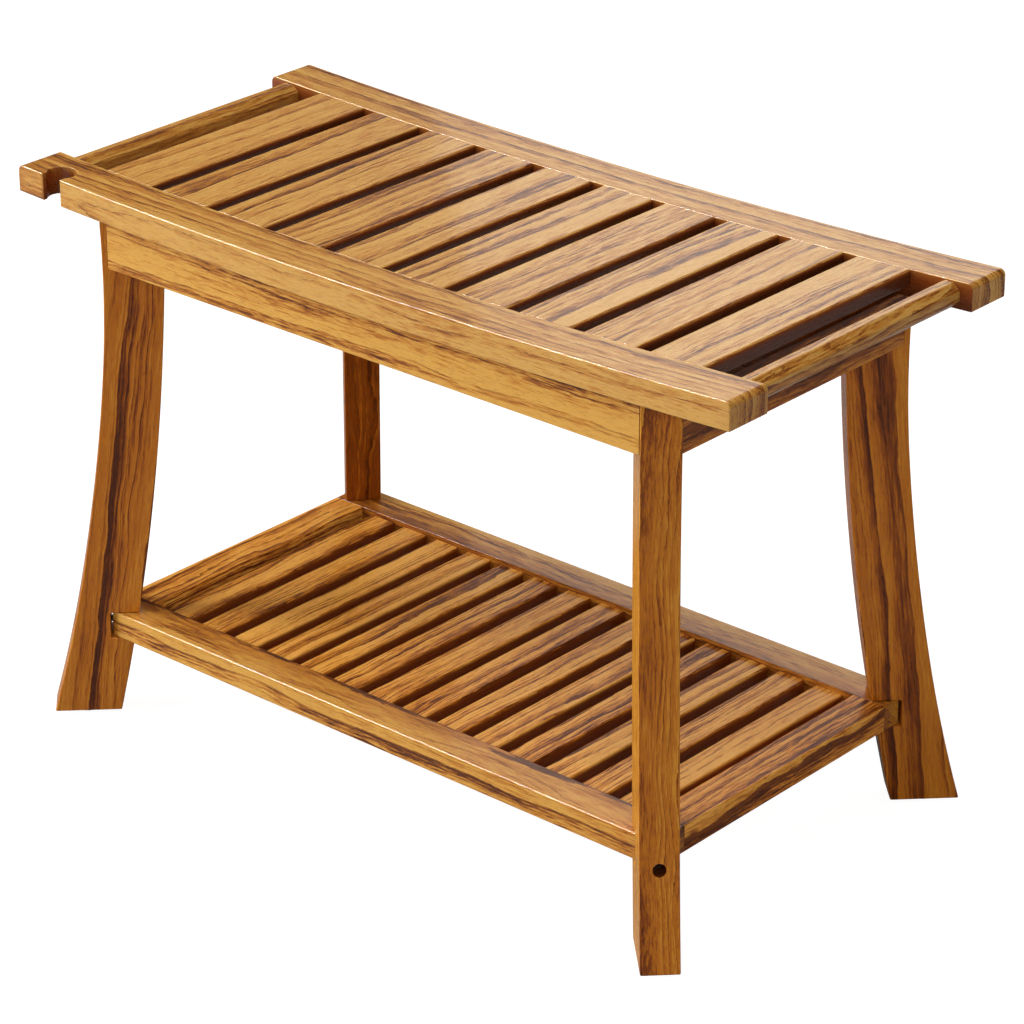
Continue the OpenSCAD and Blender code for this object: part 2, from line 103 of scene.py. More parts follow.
# Bore radius of the hanger bolts' washers and nuts, and the washers' thickness
STEEL_BORE = 0.0041
WASHER_THICKNESS = 0.0016
# Pitch and depth of each kind of thread
MACHINE_THREAD = (0.00125, 0.0007)
WOOD_THREAD = (0.0032, 0.0012)
BOLT_THREAD = (0.001, 0.00055)
SCREW_THREAD = (0.0018, 0.0006)
# Brightness of the floor and the surround where they are seen directly
PALE = 0.94
WHITE = (1.0, 1.0, 1.0)


def length(name, description, default):
    return FloatProperty(
        name=name, description=description, default=default, min=0.0, unit="LENGTH", precision=5
    )


def colour(name, description, default):
    return FloatVectorProperty(
        name=name, description=description, default=default, size=3, min=0.0, max=1.0, subtype="COLOR"
    )


class BenchSizes(PropertyGroup):
    """Sizes of the bench that its outer box doesn't give."""

    seat_dip: length("Seat dip", "How far the seat's middle lies under its ends", 0.0085)
    rail_thickness: length("Rail thickness", "Height of the two long seat rails", 0.022)
    rail_end_round: length("Rail end round", "Radius over the ends of the seat rails", 0.005)
    rail_arris: length("Rail arris", "Softened edge of the seat rails", 0.0011)
    hook_inset: length("Hook inset", "From the rail's left end to the middle of the hook notch", 0.0364)
    hook_diameter: length("Hook diameter", "Diameter of the hook notch's round pocket", 0.024)
    hook_depth: length("Hook depth", "From the rail's front face to the middle of the round pocket", 0.0124)
    hook_mouth: length("Hook mouth", "Width of the hook notch's opening to the front", 0.019)
    hook_offset: length("Hook offset", "How far the mouth sits right of the round pocket", 0.0009)
    hook_lip: length("Hook lip", "Radius of the rounded corner left of the mouth", 0.0015)
    slat_thickness: length("Slat thickness", "Thickness of a seat slat", 0.012)
    slat_round: length("Slat round", "Radius along a seat slat's top edges", 0.0025)
    bar_flats: length("Bar flats", "Width over the flats of a grip bar", 0.0195)
    bar_inset: length("Bar inset", "From the rail end to the middle of a grip bar", 0.021)
    apron_thickness: length("Apron thickness", "Thickness of the boards under the rails", 0.020)
    apron_arris: length("Apron arris", "Softened edge of the aprons", 0.0008)
    leg_thickness: length("Leg thickness", "Thickness of a leg board", 0.030)
    leg_top_width: length("Leg top width", "Width of a leg between its two arcs at seat height", 0.046)
    foot_width: length("Foot width", "Width of a leg at the floor", 0.0545)
    leg_flare: length("Leg flare", "How far a leg's outer edge sweeps out towards the floor", 0.0593)
    foot_kick: length("Foot kick", "How far the outer edge kicks out past its arc at the floor", 0.0015)
    foot_kick_height: length("Foot kick height", "Height over which a foot kicks out", 0.115)
    leg_turn: length("Leg turn", "How far the outer edge turns back out past its arc at seat height", 0.0056)
    leg_turn_height: length("Leg turn height", "Height over which the outer edge turns back out", 0.160)
    leg_inset: length("Leg inset", "From the apron corner to the leg's outer edge, along the diagonal", 0.014)
    leg_arris: length("Leg arris", "Softened edge of the legs", 0.0011)
    shelf_clip: length("Shelf clip", "From the apron corner's diagonal to the shelf's clipped corner", 0.010)
    shelf_proud: length("Shelf proud", "How far the shelf frame stands out past the aprons", 0.003)
    shelf_slat_thickness: length("Shelf slat thickness", "Thickness of a shelf slat", 0.012)
    shelf_slat_round: length("Shelf slat round", "Radius along a shelf slat's top edges", 0.0015)
    shelf_arris: length("Shelf arris", "Softened edge of the shelf frame", 0.0012)
    notch_gap: length("Notch gap", "Air between a clipped shelf corner and the leg notch", 0.0017)
    notch_play: length("Notch play", "Air above the shelf in the leg notch", 0.0004)
    block_thickness: length("Block thickness", "Thickness of a corner block", 0.020)
    block_margin: length("Block margin", "From a corner block to the aprons' edges", 0.003)
    hanger_diameter: length("Hanger bolt", "Diameter of the bolts that hold the legs", 0.008)
    bolt_diameter: length("Shelf bolt", "Diameter of the bolts that hold the shelf", 0.006)
    bolt_seat: length("Bolt seat", "Wood between the leg notch and the shelf bolt's head", 0.012)


class BenchFinish(PropertyGroup):
    """Colours of the bench and its studio."""

    light_teak: colour("Light teak", "Palest bands of the wood", (0.67, 0.370, 0.076))
    golden_teak: colour("Golden teak", "Main colour of the wood", (0.51, 0.205, 0.026))
    streak_teak: colour("Streak teak", "Brown bands of the wood", (0.24, 0.072, 0.011))
    # Dark teak is also the deepest painted shade; shade teak is the painted shade for gaps, joints, notch and
    # hole walls and shaded undersides
    dark_teak: colour("Dark teak", "Darkest lines of the wood", (0.070, 0.018, 0.004))
    shade_teak: colour("Shade teak", "Wood that lies in a gap or a joint", (0.22, 0.046, 0.006))
    beech: colour("Beech", "Dowels", (0.72, 0.56, 0.36))
    steel: colour("Steel", "Bolts, screws, nuts and washers", (0.58, 0.585, 0.59))
    nylon: colour("Nylon", "Glides under the feet", (0.78, 0.76, 0.72))
    floor: colour("Floor", "Studio floor", (0.90, 0.90, 0.90))


# ---------------------------------------------------------------- curves of the bench

def arc_rise(x, half, dip):
    """Rise, at x, of the arc that rises by dip at half its width."""
    radius = (half * half + dip * dip) / (2 * dip)
    return radius - math.sqrt(radius * radius - x * x)


def seat_z(sizes, x):
    """Height of the seat's top at x."""
    return SEAT_LOW_Z + sizes.rail_thickness + arc_rise(x, HALF_LENGTH, sizes.seat_dip)


def seat_tilt(sizes, x):
    """Slope angle of the seat's top at x."""
    radius = (HALF_LENGTH ** 2 + sizes.seat_dip ** 2) / (2 * sizes.seat_dip)
    return math.asin(x / radius)


def seat_height(sizes):
    """Height of the seat's raised ends."""
    return SEAT_LOW_Z + sizes.rail_thickness + sizes.seat_dip


def ease(distance, reach):
    """Grows from 0 at a distance of reach to 1 at no distance."""
    return max(0.0, 1 - distance / reach) ** 2


def leg_edges(sizes, z):
    """Outer and inner edge of a leg at height z, measured outward along its diagonal."""
    top = seat_height(sizes)
    inner_flare = sizes.leg_flare + sizes.leg_top_width - sizes.foot_width
    outer = -sizes.leg_inset + arc_rise(top - z, top, sizes.leg_flare - sizes.foot_kick)
    outer += sizes.foot_kick * ease(z, sizes.foot_kick_height)
    outer += sizes.leg_turn * ease(top - z, sizes.leg_turn_height)
    return outer, leg_back(sizes) + arc_rise(top - z, top, inner_flare)


def leg_back(sizes):
    """Inner edge of a leg at seat height, along its diagonal."""
    return -sizes.leg_inset - sizes.leg_top_width


def hanger_z(sizes):
    """Height of the bolts between the legs and the corner blocks."""
    return (APRON_LOW.z + seat_z(sizes, 0.0) - sizes.rail_thickness) / 2


def board_ring(place, outer, inner, half, z):
    """Section of a leg at one height, corner by corner."""
    return [place(u, t, z) for u, t in ((outer, -half), (outer, half), (inner, half), (inner, -half))]


def notch_u(sizes):
    """Inner end of the shelf notch in a leg, along the diagonal."""
    return sizes.shelf_proud * math.sqrt(2) - sizes.shelf_clip + sizes.notch_gap


def corner_place(corner):
    """Turns (along the diagonal, across it, height) into bench space for one corner."""
    sx, sy = CORNERS[corner]
    return lambda u, t, z: Vector((
        sx * (BASE_X + (u - t) * ROOT_HALF),
        sy * (BASE_Y + (u + t) * ROOT_HALF),
        z,
    ))


def corner_local(corner, point):
    """The inverse of corner_place."""
    sx, sy = CORNERS[corner]
    x = sx * point.x - BASE_X
    y = sy * point.y - BASE_Y
    return (x + y) * ROOT_HALF, (y - x) * ROOT_HALF, point.z


# ---------------------------------------------------------------- meshes

def steps(first, last, count):
    """Values from first to last in count even steps."""
    return [first + (last - first) * k / count for k in range(count + 1)]


def circle(radius, sides=SIDES):
    """Points round a circle."""
    return [(radius * math.cos(a), radius * math.sin(a)) for a in steps(0.0, math.tau, sides)[:-1]]


def mesh_of(shape, name):
    """The mesh of a finished bmesh."""
    mesh = bpy.data.meshes.new(name)
    shape.to_mesh(mesh)
    shape.free()
    return mesh


def smooth(mesh):
    """The mesh with smooth shading."""
    mesh.polygons.foreach_set("use_smooth", [True] * len(mesh.polygons))
    return mesh


def loft(name, rings, closed=False):
    """A solid through rings of points, flat at both ends, or joined end to end when closed."""
    shape = bmesh.new()
    made = [[shape.verts.new(point) for point in ring] for ring in rings]
    for near, far in zip(made, made[1:] + (made[:1] if closed else [])):
        for k in range(len(near)):
            shape.faces.new((near[k], near[k - 1], far[k - 1], far[k]))
    if not closed:
        shape.faces.new(made[0])
        shape.faces.new(list(reversed(made[-1])))
    bmesh.ops.recalc_face_normals(shape, faces=shape.faces)
    return mesh_of(shape, name)


def bench_space(x, y, z):
    return Vector((x, y, z))


def box_between(name, low, high, place=bench_space):
    """A box between two corners, in the space that place gives."""
    section = ((low[1], low[2]), (high[1], low[2]), (high[1], high[2]), (low[1], high[2]))
    return loft(name, [[place(x, y, z) for y, z in section] for x in (low[0], high[0])])


def rod_between(name, start, end, radius, sides=40):
    """A round rod from one point to another."""
    start = Vector(start)
    axis = Vector(end) - start
    turn = axis.to_track_quat("Z", "Y").to_matrix()
    return loft(name, [
        [start + turn @ Vector((x, y, offset)) for x, y in circle(radius, sides)]
        for offset in (0.0, axis.length)
    ])


def evaluated(mesh, add_modifiers):
    """The mesh after the modifiers that add_modifiers puts on it."""
    carrier = bpy.data.objects.new("work_piece", mesh)
    bpy.context.scene.collection.objects.link(carrier)
    helpers = add_modifiers(carrier)
    view_layer_graph = bpy.context.evaluated_depsgraph_get()
    result = bpy.data.meshes.new_from_object(carrier.evaluated_get(view_layer_graph))
    for thing in [carrier, *helpers]:
        old = thing.data
        bpy.data.objects.remove(thing)
        bpy.data.meshes.remove(old)
    return result


def cut(mesh, cutters):
    """The mesh with each cutter taken away."""
    def add_cuts(carrier):
        helpers = []
        for cutter in cutters:
            helper = bpy.data.objects.new("cutter", cutter)
            bpy.context.scene.collection.objects.link(helper)
            modifier = carrier.modifiers.new("Cut", "BOOLEAN")
            modifier.operation = "DIFFERENCE"
            modifier.solver = "EXACT"
            modifier.object = helper
            helpers.append(helper)
        return helpers
    return evaluated(mesh, add_cuts)


def middle_of(edge):
    return (edge.verts[0].co + edge.verts[1].co) / 2


def merge_narrow_strips(shape, arris):
    """Joins flat strips about as narrow as the arris, which would fold over in it."""
    flat, close = 0.001, 1.6 * arris

    def narrow(edge):
        if len(edge.link_faces) != 2 or edge.calc_face_angle(1.0) > flat:
            return False
        for face in edge.link_faces:
            for other in face.edges:
                shared = set(other.verts) & set(edge.verts)
                gap = (middle_of(other) - middle_of(edge)).length
                if other is not edge and not shared and gap < close:
                    return True
        return False
    found = [edge for edge in shape.edges if narrow(edge)]
    if found:
        bmesh.ops.dissolve_edges(shape, edges=found, use_verts=True)


def soften(mesh, arris, share, segments=3):
    """Rounds the sharp edges by the arris width, times share(middle, direction) of each edge."""
    shape = bmesh.new()
    shape.from_mesh(mesh)
    merge_narrow_strips(shape, arris)
    weight = shape.edges.layers.float.new("bevel_weight_edge")
    for edge in shape.edges:
        if len(edge.link_faces) == 2 and edge.calc_face_angle(0.0) >= math.radians(30):
            edge[weight] = share(middle_of(edge), (edge.verts[1].co - edge.verts[0].co).normalized())
    shape.to_mesh(mesh)
    shape.free()
    smooth(mesh)

    def add_rounding(carrier):
        bevel = carrier.modifiers.new("Arris", "BEVEL")
        bevel.limit_method = "WEIGHT"
        bevel.width = arris
        bevel.segments = segments
        bevel.use_clamp_overlap = False
        carrier.modifiers.new("Flat faces", "WEIGHTED_NORMAL").weight = 60
        return []
    return evaluated(mesh, add_rounding)


def turned_rings(profile, place, sides=SIDES):
    """Rings of points for a profile of (distance along the axis, radius)."""
    return [[place(along, y, z) for y, z in circle(radius, sides)] for along, radius in profile]


def lathe(name, profile, place, sides=SIDES):
    """A turned solid. A radius of zero gives a closed end."""
    shape = bmesh.new()
    rings = []
    for along, radius in profile:
        points = circle(radius, sides) if radius > 0.0 else [(0.0, 0.0)]
        rings.append([shape.verts.new(place(along, y, z)) for y, z in points])
    for near, far in zip(rings, rings[1:]):
        for k in range(sides):
            corners = [near[(k - 1) % len(near)], near[k % len(near)],
                       far[k % len(far)], far[(k - 1) % len(far)]]
            unique = list(dict.fromkeys(corners))
            if len(unique) > 2:
                shape.faces.new(unique)
    for ring in (rings[0], rings[-1]):
        if len(ring) > 1:
            shape.faces.new(ring)
    bmesh.ops.recalc_face_normals(shape, faces=shape.faces)
    return mesh_of(shape, name)


def thread(name, place, start, end, radius, pitch, depth, sides=20, point=0.0):
    """A threaded rod from start to end along its axis, tapered to a point over the length of point."""
    rings_per_turn, run_out, tip = 6, 0.4 * pitch, 0.12
    rows = max(2, round((end - start) / (pitch / rings_per_turn)))
    rings = []
    for along in steps(start, end, rows):
        taper = min(1.0, (end - along) / point) if point else 1.0
        run_in = min(1.0, (along - start) / run_out, (end - along) / run_out)
        ring = []
        for k in range(sides):
            phase = ((along / pitch) + k / sides) % 1.0
            groove = 1.0 - abs(2.0 * phase - 1.0)
            r = (radius - depth * (1.0 - groove * run_in)) * max(taper, tip)
            angle = math.tau * k / sides
            ring.append(place(along, r * math.cos(angle), r * math.sin(angle)))
        rings.append(ring)
    return smooth(loft(name, rings))


def joined(name, meshes):
    """One mesh out of several."""
    shape = bmesh.new()
    for mesh in meshes:
        shape.from_mesh(mesh)
        bpy.data.meshes.remove(mesh)
    return mesh_of(shape, name)


def nowhere(point):
    return 0.0


def add_grain(mesh, name, places, cut_angle, depth=0.0, shadow=nowhere, pale=nowhere, pith=0.16):
    """Stores where each point lies in the log the board was sawn from, how deep its colour is, and its share
    of painted shade.

    places gives (along, across, deep) in the board; shadow gives a share of painted shade and pale a shift to
    a lighter colour for each point.
    """
    angle_spread, shade_spread, logs = 6, 0.05, 40.0
    chance = random.Random(name)
    angle = math.radians(cut_angle + chance.uniform(-angle_spread, angle_spread))
    pith_distance = pith * chance.uniform(0.8, 1.3)
    seed = chance.uniform(0.0, logs)
    shade = depth + chance.uniform(-shade_spread, shade_spread)
    grain, board = [], []
    for vertex in mesh.vertices:
        along, across, deep = places(vertex.co)
        grain += (
            along,
            pith_distance + across * math.cos(angle) + deep * math.sin(angle),
            deep * math.cos(angle) - across * math.sin(angle),
        )
        board += (seed, shade - pale(vertex.co), shadow(vertex.co))
    for key, values in (("grain", grain), ("board", board)):
        mesh.attributes.new(key, "FLOAT_VECTOR", "POINT").data.foreach_set("vector", values)


def make_piece(name, mesh, material, slot, *nodes):
    """Puts a finished mesh in the scene as a piece that stands for CAD nodes."""
    mesh.name = name
    piece = bpy.data.objects.new(name, mesh)
    bpy.context.scene.collection.objects.link(piece)
    mesh.materials.clear()
    mesh.materials.append(material)
    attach(piece, "root")
    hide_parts(*nodes)
    return piece


def make_wood(kind, node, mesh, finish, places, **grain):
    """Makes a wooden piece with its grain and its teak finish."""
    add_grain(mesh, node, places, **grain)
    return make_piece(f"{node}_{kind}", mesh, teak(finish), "teak", node)


# ---------------------------------------------------------------- finishes

class Wiring:
    """Adds nodes to a node tree and joins them."""

    def __init__(self, tree):
        self.tree = tree
        self.count = 0

    def add(self, kind, **settings):
        node = self.tree.nodes.new(kind)
        node.location = (220 * (self.count % 8), -260 * (self.count // 8))
        self.count += 1
        for key, value in settings.items():
            setattr(node, key, value)
        return node

    def feed(self, socket, value):
        if isinstance(value, bpy.types.NodeSocket):
            self.tree.links.new(value, socket)
        elif value is not None:
            socket.default_value = value

    def math(self, operation, first, second=None, third=None, clamp=False):
        node = self.add("ShaderNodeMath", operation=operation, use_clamp=clamp)
        for socket, value in zip(node.inputs, (first, second, third)):
            self.feed(socket, value)
        return node.outputs[0]

    def stretched(self, vector, along, across, shift):
        """Grain space scaled along and across, moved by shift, for noise lookups."""
        node = self.add("ShaderNodeVectorMath", operation="MULTIPLY_ADD")
        self.feed(node.inputs[0], vector)
        node.inputs[1].default_value = (along, across, across)
        self.feed(node.inputs[2], shift)
        return node.outputs[0]

    def noise(self, place, detail=1.0, roughness=0.5, scale=1.0, space=("3D", "Vector")):
        node = self.add("ShaderNodeTexNoise", noise_dimensions=space[0])
        self.feed(node.inputs[space[1]], place)
        node.inputs["Scale"].default_value = scale
        node.inputs["Detail"].default_value = detail
        node.inputs["Roughness"].default_value = roughness
        return node.outputs[0]

    def line_noise(self, place, detail=0.0):
        """Noise along one line."""
        return self.noise(place, detail, space=("1D", "W"))

    def split(self, vector):
        """The three parts of a vector."""
        node = self.add("ShaderNodeSeparateXYZ")
        self.feed(node.inputs[0], vector)
        return node.outputs

    def bump(self, surface, height, distance, strength=1.0):
        """Fine relief on the surface."""
        node = self.add("ShaderNodeBump")
        node.inputs["Strength"].default_value = strength
        node.inputs["Distance"].default_value = distance
        self.feed(node.inputs["Height"], height)
        self.feed(surface["Normal"], node.outputs[0])

    def ramp(self, value, low, high, to_low=0.0, to_high=1.0):
        """Smooth step between low and high."""
        node = self.add("ShaderNodeMapRange", interpolation_type="SMOOTHSTEP")
        for socket, number in zip(node.inputs, (value, low, high, to_low, to_high)):
            self.feed(socket, number)
        return node.outputs[0]

    def tint(self, factor, first, second, blend="MIX"):
        node = self.add("ShaderNodeMix", data_type="RGBA", blend_type=blend)
        self.feed(node.inputs[0], factor)
        self.feed(node.inputs[6], first)
        self.feed(node.inputs[7], second)
        return node.outputs[2]


def sockets(tree, in_out, kind, *defaults):
    """Adds one named socket to a group for each (name, default)."""
    for name, default in defaults:
        socket = tree.interface.new_socket(name, in_out=in_out, socket_type="NodeSocket" + kind)
        if default is not None:
            socket.default_value = default


def new_group(name, inputs, outputs):
    """A shader node group with named sockets, its wiring, and its input and output nodes."""
    tree = bpy.data.node_groups.new(name, "ShaderNodeTree")
    for in_out, table in (("INPUT", inputs), ("OUTPUT", outputs)):
        for kind, defaults in table:
            sockets(tree, in_out, kind, *defaults.items())
    w = Wiring(tree)
    return tree, w, w.add("NodeGroupInput").outputs, w.add("NodeGroupOutput").inputs


def built_once(blocks, name):
    """Marks a function that makes a material or group, which then runs at its first use only."""
    def mark(make):
        return lambda: getattr(bpy.data, blocks).get(name) or make(name)
    return mark


@built_once("node_groups", "Teak figure")
def teak_figure(name):
    """Group: the bands, growth rings, dark hairlines and pores of sawn teak, from its grain coordinates."""
    tree, w, given, result = new_group(
        name,
        [("Vector", {"Grain": None}),
         ("Float", {"Seed": 0.0, "Band width": 0.012, "Wander": 0.006, "Streaks": 0.5})],
        [("Float", {"Tone": None, "Hairlines": None, "Fibres": None, "Pores": None})],
    )
    shift = w.add("ShaderNodeCombineXYZ")
    w.feed(shift.inputs[0], w.math("MULTIPLY", given["Seed"], 7.31))
    w.feed(shift.inputs[1], w.math("MULTIPLY", given["Seed"], 1.93))
    moved = shift.outputs[0]

    def grain_noise(along, across, detail=1.0, roughness=0.5):
        return w.noise(w.stretched(given["Grain"], along, across, moved), detail, roughness)

    slow = grain_noise(1.7, 7.0)
    flame = grain_noise(10.0, 34.0)
    quick = grain_noise(27.0, 120.0, 2.0)
    feather = grain_noise(90.0, 560.0, 2.0, 0.65)
    fade = grain_noise(4.0, 40.0, 2.0)

    # Distance from the log's middle, bent by slow, flaming and quick waves
    parts = w.split(given["Grain"])
    across_squared = w.math("MULTIPLY", parts[1], parts[1])
    place = w.math("SQRT", w.math("MULTIPLY_ADD", parts[2], parts[2], across_squared))
    for noise, share in ((slow, 2.6), (flame, 1.7), (quick, 0.62)):
        wave = w.math("MULTIPLY", w.math("SUBTRACT", noise, 0.5), w.math("MULTIPLY", given["Wander"], share))
        place = w.math("ADD", place, wave)
    place = w.math("MULTIPLY_ADD", w.math("SUBTRACT", feather, 0.5), 0.0018, place)
    place = w.math("MULTIPLY_ADD", given["Seed"], 0.37, place)

    # Broad, narrow and fine growth bands, each a slow rise to a sharp dark edge
    broad, broad_edge = growth_bands(w, place, given["Band width"], 1.2)
    narrow, narrow_edge = growth_bands(w, place, w.math("MULTIPLY", given["Band width"], 0.31), 1.7)
    fine = w.line_noise(w.math("DIVIDE", place, 0.0011), detail=1.0)
    bands = w.math("MULTIPLY_ADD", broad, 0.85, w.math("MULTIPLY", narrow, 0.55))
    bands = w.math("MULTIPLY", bands, w.ramp(fade, 0.32, 0.62, 0.60, 1.25))
    tone = w.math("MULTIPLY_ADD", bands, given["Streaks"], -0.02)
    fine_share = w.math("MULTIPLY_ADD", bands, 0.40, 0.24)
    tone = w.math("MULTIPLY_ADD", w.math("SUBTRACT", fine, 0.5), fine_share, tone)
    tone = w.math("MULTIPLY_ADD", w.math("SUBTRACT", flame, 0.5), 0.40, tone)
    w.feed(result["Tone"], tone)

    # Hairlines: the dark edges of the bands, which thin out and break up along the board
    edges = w.math("MAXIMUM", broad_edge, w.math("MULTIPLY", narrow_edge, 0.8))
    w.feed(result["Hairlines"], w.math("MULTIPLY", edges, w.ramp(quick, 0.34, 0.56)))

    w.feed(result["Fibres"], w.ramp(grain_noise(45.0, 620.0, 3.0, 0.75), 0.30, 0.70))
    w.feed(result["Pores"], w.ramp(grain_noise(110.0, 1500.0), 0.58, 0.70))
    return tree


def growth_bands(w, place, pitch, sharpness):
    """Bands across place: how brown each point is, and where the band's dark edge runs."""
    wobble = w.line_noise(w.math("DIVIDE", place, w.math("MULTIPLY", pitch, 2.6)))
    count = w.math("MULTIPLY_ADD", wobble, 1.7, w.math("DIVIDE", place, pitch))
    share = w.math("FRACT", count)
    strength = w.add("ShaderNodeTexWhiteNoise", noise_dimensions="1D")
    w.feed(strength.inputs["W"], w.math("FLOOR", count))
    rise = w.math("MULTIPLY", w.math("POWER", share, sharpness), w.ramp(share, 0.955, 1.0, 1.0, 0.0))
    brown = w.math("MULTIPLY", rise, w.ramp(strength.outputs[0], 0.10, 0.80, 0.10, 1.05))
    line = w.math("MULTIPLY", w.ramp(share, 0.87, 0.94), w.ramp(share, 0.955, 0.99, 1.0, 0.0))
    return brown, w.math("MULTIPLY", line, w.ramp(strength.outputs[0], 0.25, 0.60))


@built_once("node_groups", "Teak colour")
def teak_colour(name):
    """Group: turns the figure into the colour, roughness and relief of lacquered teak, with painted shade
    mixed in from its Shadow input.
    """
    tree, w, given, result = new_group(
        name,
        [("Float", {"Tone": 0.3, "Hairlines": 0.0, "Fibres": 0.5, "Pores": 0.0, "Depth": 0.0,
                    "Shadow": 0.0, "Contrast": 1.0}),
         ("Color", dict.fromkeys(("Light", "Golden", "Streak", "Dark", "Shade")))],
        [("Color", {"Color": None}), ("Float", {"Roughness": None, "Height": None})],
    )
    tone = w.math("ADD", given["Tone"], given["Depth"])
    lighter = w.math("MAXIMUM", w.math("MINIMUM", tone, given["Tone"]), 0.0)
    grain_share = w.math("MULTIPLY", w.math("MULTIPLY_ADD", lighter, 0.50, 0.30), given["Contrast"])
    tone = w.math("MULTIPLY_ADD", w.math("SUBTRACT", given["Fibres"], 0.5), grain_share, tone)
    line_colour = w.tint(0.6, given["Streak"], given["Dark"])
    wood = given["Light"]
    for share, next_colour in (
        (w.ramp(tone, 0.0, 0.34), given["Golden"]),
        (w.ramp(tone, 0.34, 0.70), given["Streak"]),
        (w.ramp(tone, 0.70, 1.05), given["Dark"]),
        (w.math("MULTIPLY", given["Hairlines"], 0.90), line_colour),
        (w.math("MULTIPLY", given["Pores"], 0.35), given["Streak"]),
        # Painted shade: the Shadow share mixes the wood towards the shade colour, then towards the dark
        # colour
        (w.ramp(given["Shadow"], 0.0, 0.55), given["Shade"]),
        (w.ramp(given["Shadow"], 0.50, 1.0, 0.0, 0.85), given["Dark"]),
    ):
        wood = w.tint(share, wood, next_colour)
    w.feed(result["Color"], wood)
    w.feed(result["Roughness"], w.ramp(given["Fibres"], 0.2, 0.8, 0.26, 0.36))
    height = w.math("MULTIPLY_ADD", given["Fibres"], 0.35, w.math("MULTIPLY", given["Pores"], -0.8))
    w.feed(result["Height"], height)
    return tree


def use_group(w, tree, **values):
    """Places a group in a tree and feeds its inputs, written with _ for a space."""
    node = w.add("ShaderNodeGroup", node_tree=tree)
    for key, value in values.items():
        w.feed(node.inputs[key.replace("_", " ")], value)
    return node.outputs


def new_material(name):
    """An empty material with its wiring, surface shader and output."""
    material = bpy.data.materials.new(name)
    material.use_nodes = True
    material.node_tree.nodes.clear()
    w = Wiring(material.node_tree)
    shader = w.add("ShaderNodeBsdfPrincipled")
    output = w.add("ShaderNodeOutputMaterial")
    w.feed(output.inputs["Surface"], shader.outputs[0])
    return material, w, shader.inputs


def rgba(values, scale=1.0):
    """A colour with full alpha, its channels times scale."""
    return tuple(channel * scale for channel in values) + (1.0,)


# Each teak finish: width of its bands, how far they wander, how brown they are, its tint over the palette,
# the contrast of its fibres and its gloss
TEAKS = {
    "Teak seat slats": (0.015, 0.0070, 0.82, (1.04, 1.03, 1.25), 1.75, 1.0),
    "Teak seat rails": (0.011, 0.0055, 0.72, (1.03, 1.01, 1.12), 1.7, 1.0),
    "Teak aprons": (0.018, 0.008, 1.08, (1.12, 1.06, 1.00), 2.0, 0.6),
    "Teak side aprons": (0.018, 0.008, 1.08, (1.14, 1.00, 0.80), 1.15, 0.5),
    "Teak legs": (0.016, 0.0075, 0.98, (1.08, 0.82, 0.42), 0.85, 0.5),
    "Teak shelf rails": (0.012, 0.0065, 0.88, (1.12, 1.04, 0.93), 1.9, 0.7),
    "Teak shelf": (0.012, 0.006, 1.10, (1.49, 1.36, 1.30), 1.5, 0.3),
}


def teak(name):
    """Lacquered teak, one finish for each family of boards."""
    if name in bpy.data.materials:
        return bpy.data.materials[name]
    band_width, wander, streaks, tint, contrast, gloss = TEAKS[name]
    finish = bpy.context.scene.bench_finish
    palette = {}
    for key in ("Light", "Golden", "Streak", "Dark"):
        base = getattr(finish, key.lower() + "_teak")
        palette[key] = rgba(channel * share for channel, share in zip(base, tint))
    material, w, surface = new_material(name)
    grain = w.add("ShaderNodeAttribute", attribute_name="grain").outputs["Vector"]
    seed, depth, shadow = w.split(w.add("ShaderNodeAttribute", attribute_name="board").outputs["Vector"])
    figure = use_group(
        w, teak_figure(), Grain=grain, Seed=seed, Band_width=band_width, Wander=wander, Streaks=streaks
    )
    coloured = use_group(
        w, teak_colour(), Tone=figure["Tone"], Hairlines=figure["Hairlines"], Fibres=figure["Fibres"],
        Pores=figure["Pores"], Depth=depth, Shadow=shadow, Contrast=contrast, Shade=rgba(finish.shade_teak),
        **palette,
    )
    w.feed(surface["Base Color"], coloured["Color"])
    w.feed(surface["Roughness"], coloured["Roughness"])
    w.bump(surface, coloured["Height"], 0.00012, 0.25)
    surface["Specular IOR Level"].default_value = 0.5 * gloss
    surface["Coat Weight"].default_value = 0.3 * gloss
    surface["Coat Roughness"].default_value = 0.07
    return material


@built_once("materials", "Beech dowels")
def beech(name):
    """Plain beech of the dowels, straight and fine."""
    material, w, surface = new_material(name)
    place = w.add("ShaderNodeTexCoord").outputs["Object"]
    lines = w.noise(w.stretched(place, 900.0, 60.0, (0.0, 0.0, 0.0)), detail=3.0)
    flecks = w.noise(w.stretched(place, 300.0, 160.0, (3.0, 1.0, 2.0)), detail=2.0)
    shade = w.ramp(w.math("MULTIPLY_ADD", flecks, 0.4, w.math("MULTIPLY", lines, 0.6)), 0.35, 0.65)
    colour_set = bpy.context.scene.bench_finish.beech
    w.feed(surface["Base Color"], w.tint(shade, rgba(colour_set), rgba(colour_set, 0.72)))
    w.feed(surface["Roughness"], w.ramp(lines, 0.3, 0.7, 0.5, 0.65))
    w.bump(surface, lines, 0.0001)
    return material


@built_once("materials", "Stainless steel")
def steel(name):
    """Plain stainless steel with faint tool marks and dull patches."""
    material, w, surface = new_material(name)
    place = w.add("ShaderNodeTexCoord").outputs["Object"]
    patches = w.noise(place, detail=3.0, scale=260.0)
    marks = w.noise(place, detail=2.0, scale=2600.0)
    dullness = w.math("MULTIPLY_ADD", marks, 0.4, w.math("MULTIPLY", patches, 0.6))
    colour_set = bpy.context.scene.bench_finish.steel
    w.feed(surface["Base Color"], w.tint(w.ramp(patches, 0.35, 0.7), rgba(colour_set), rgba(colour_set, 0.8)))
    w.feed(surface["Roughness"], w.ramp(dullness, 0.3, 0.7, 0.26, 0.42))
    surface["Metallic"].default_value = 1.0
    w.bump(surface, marks, 0.00005, 0.2)
    return material


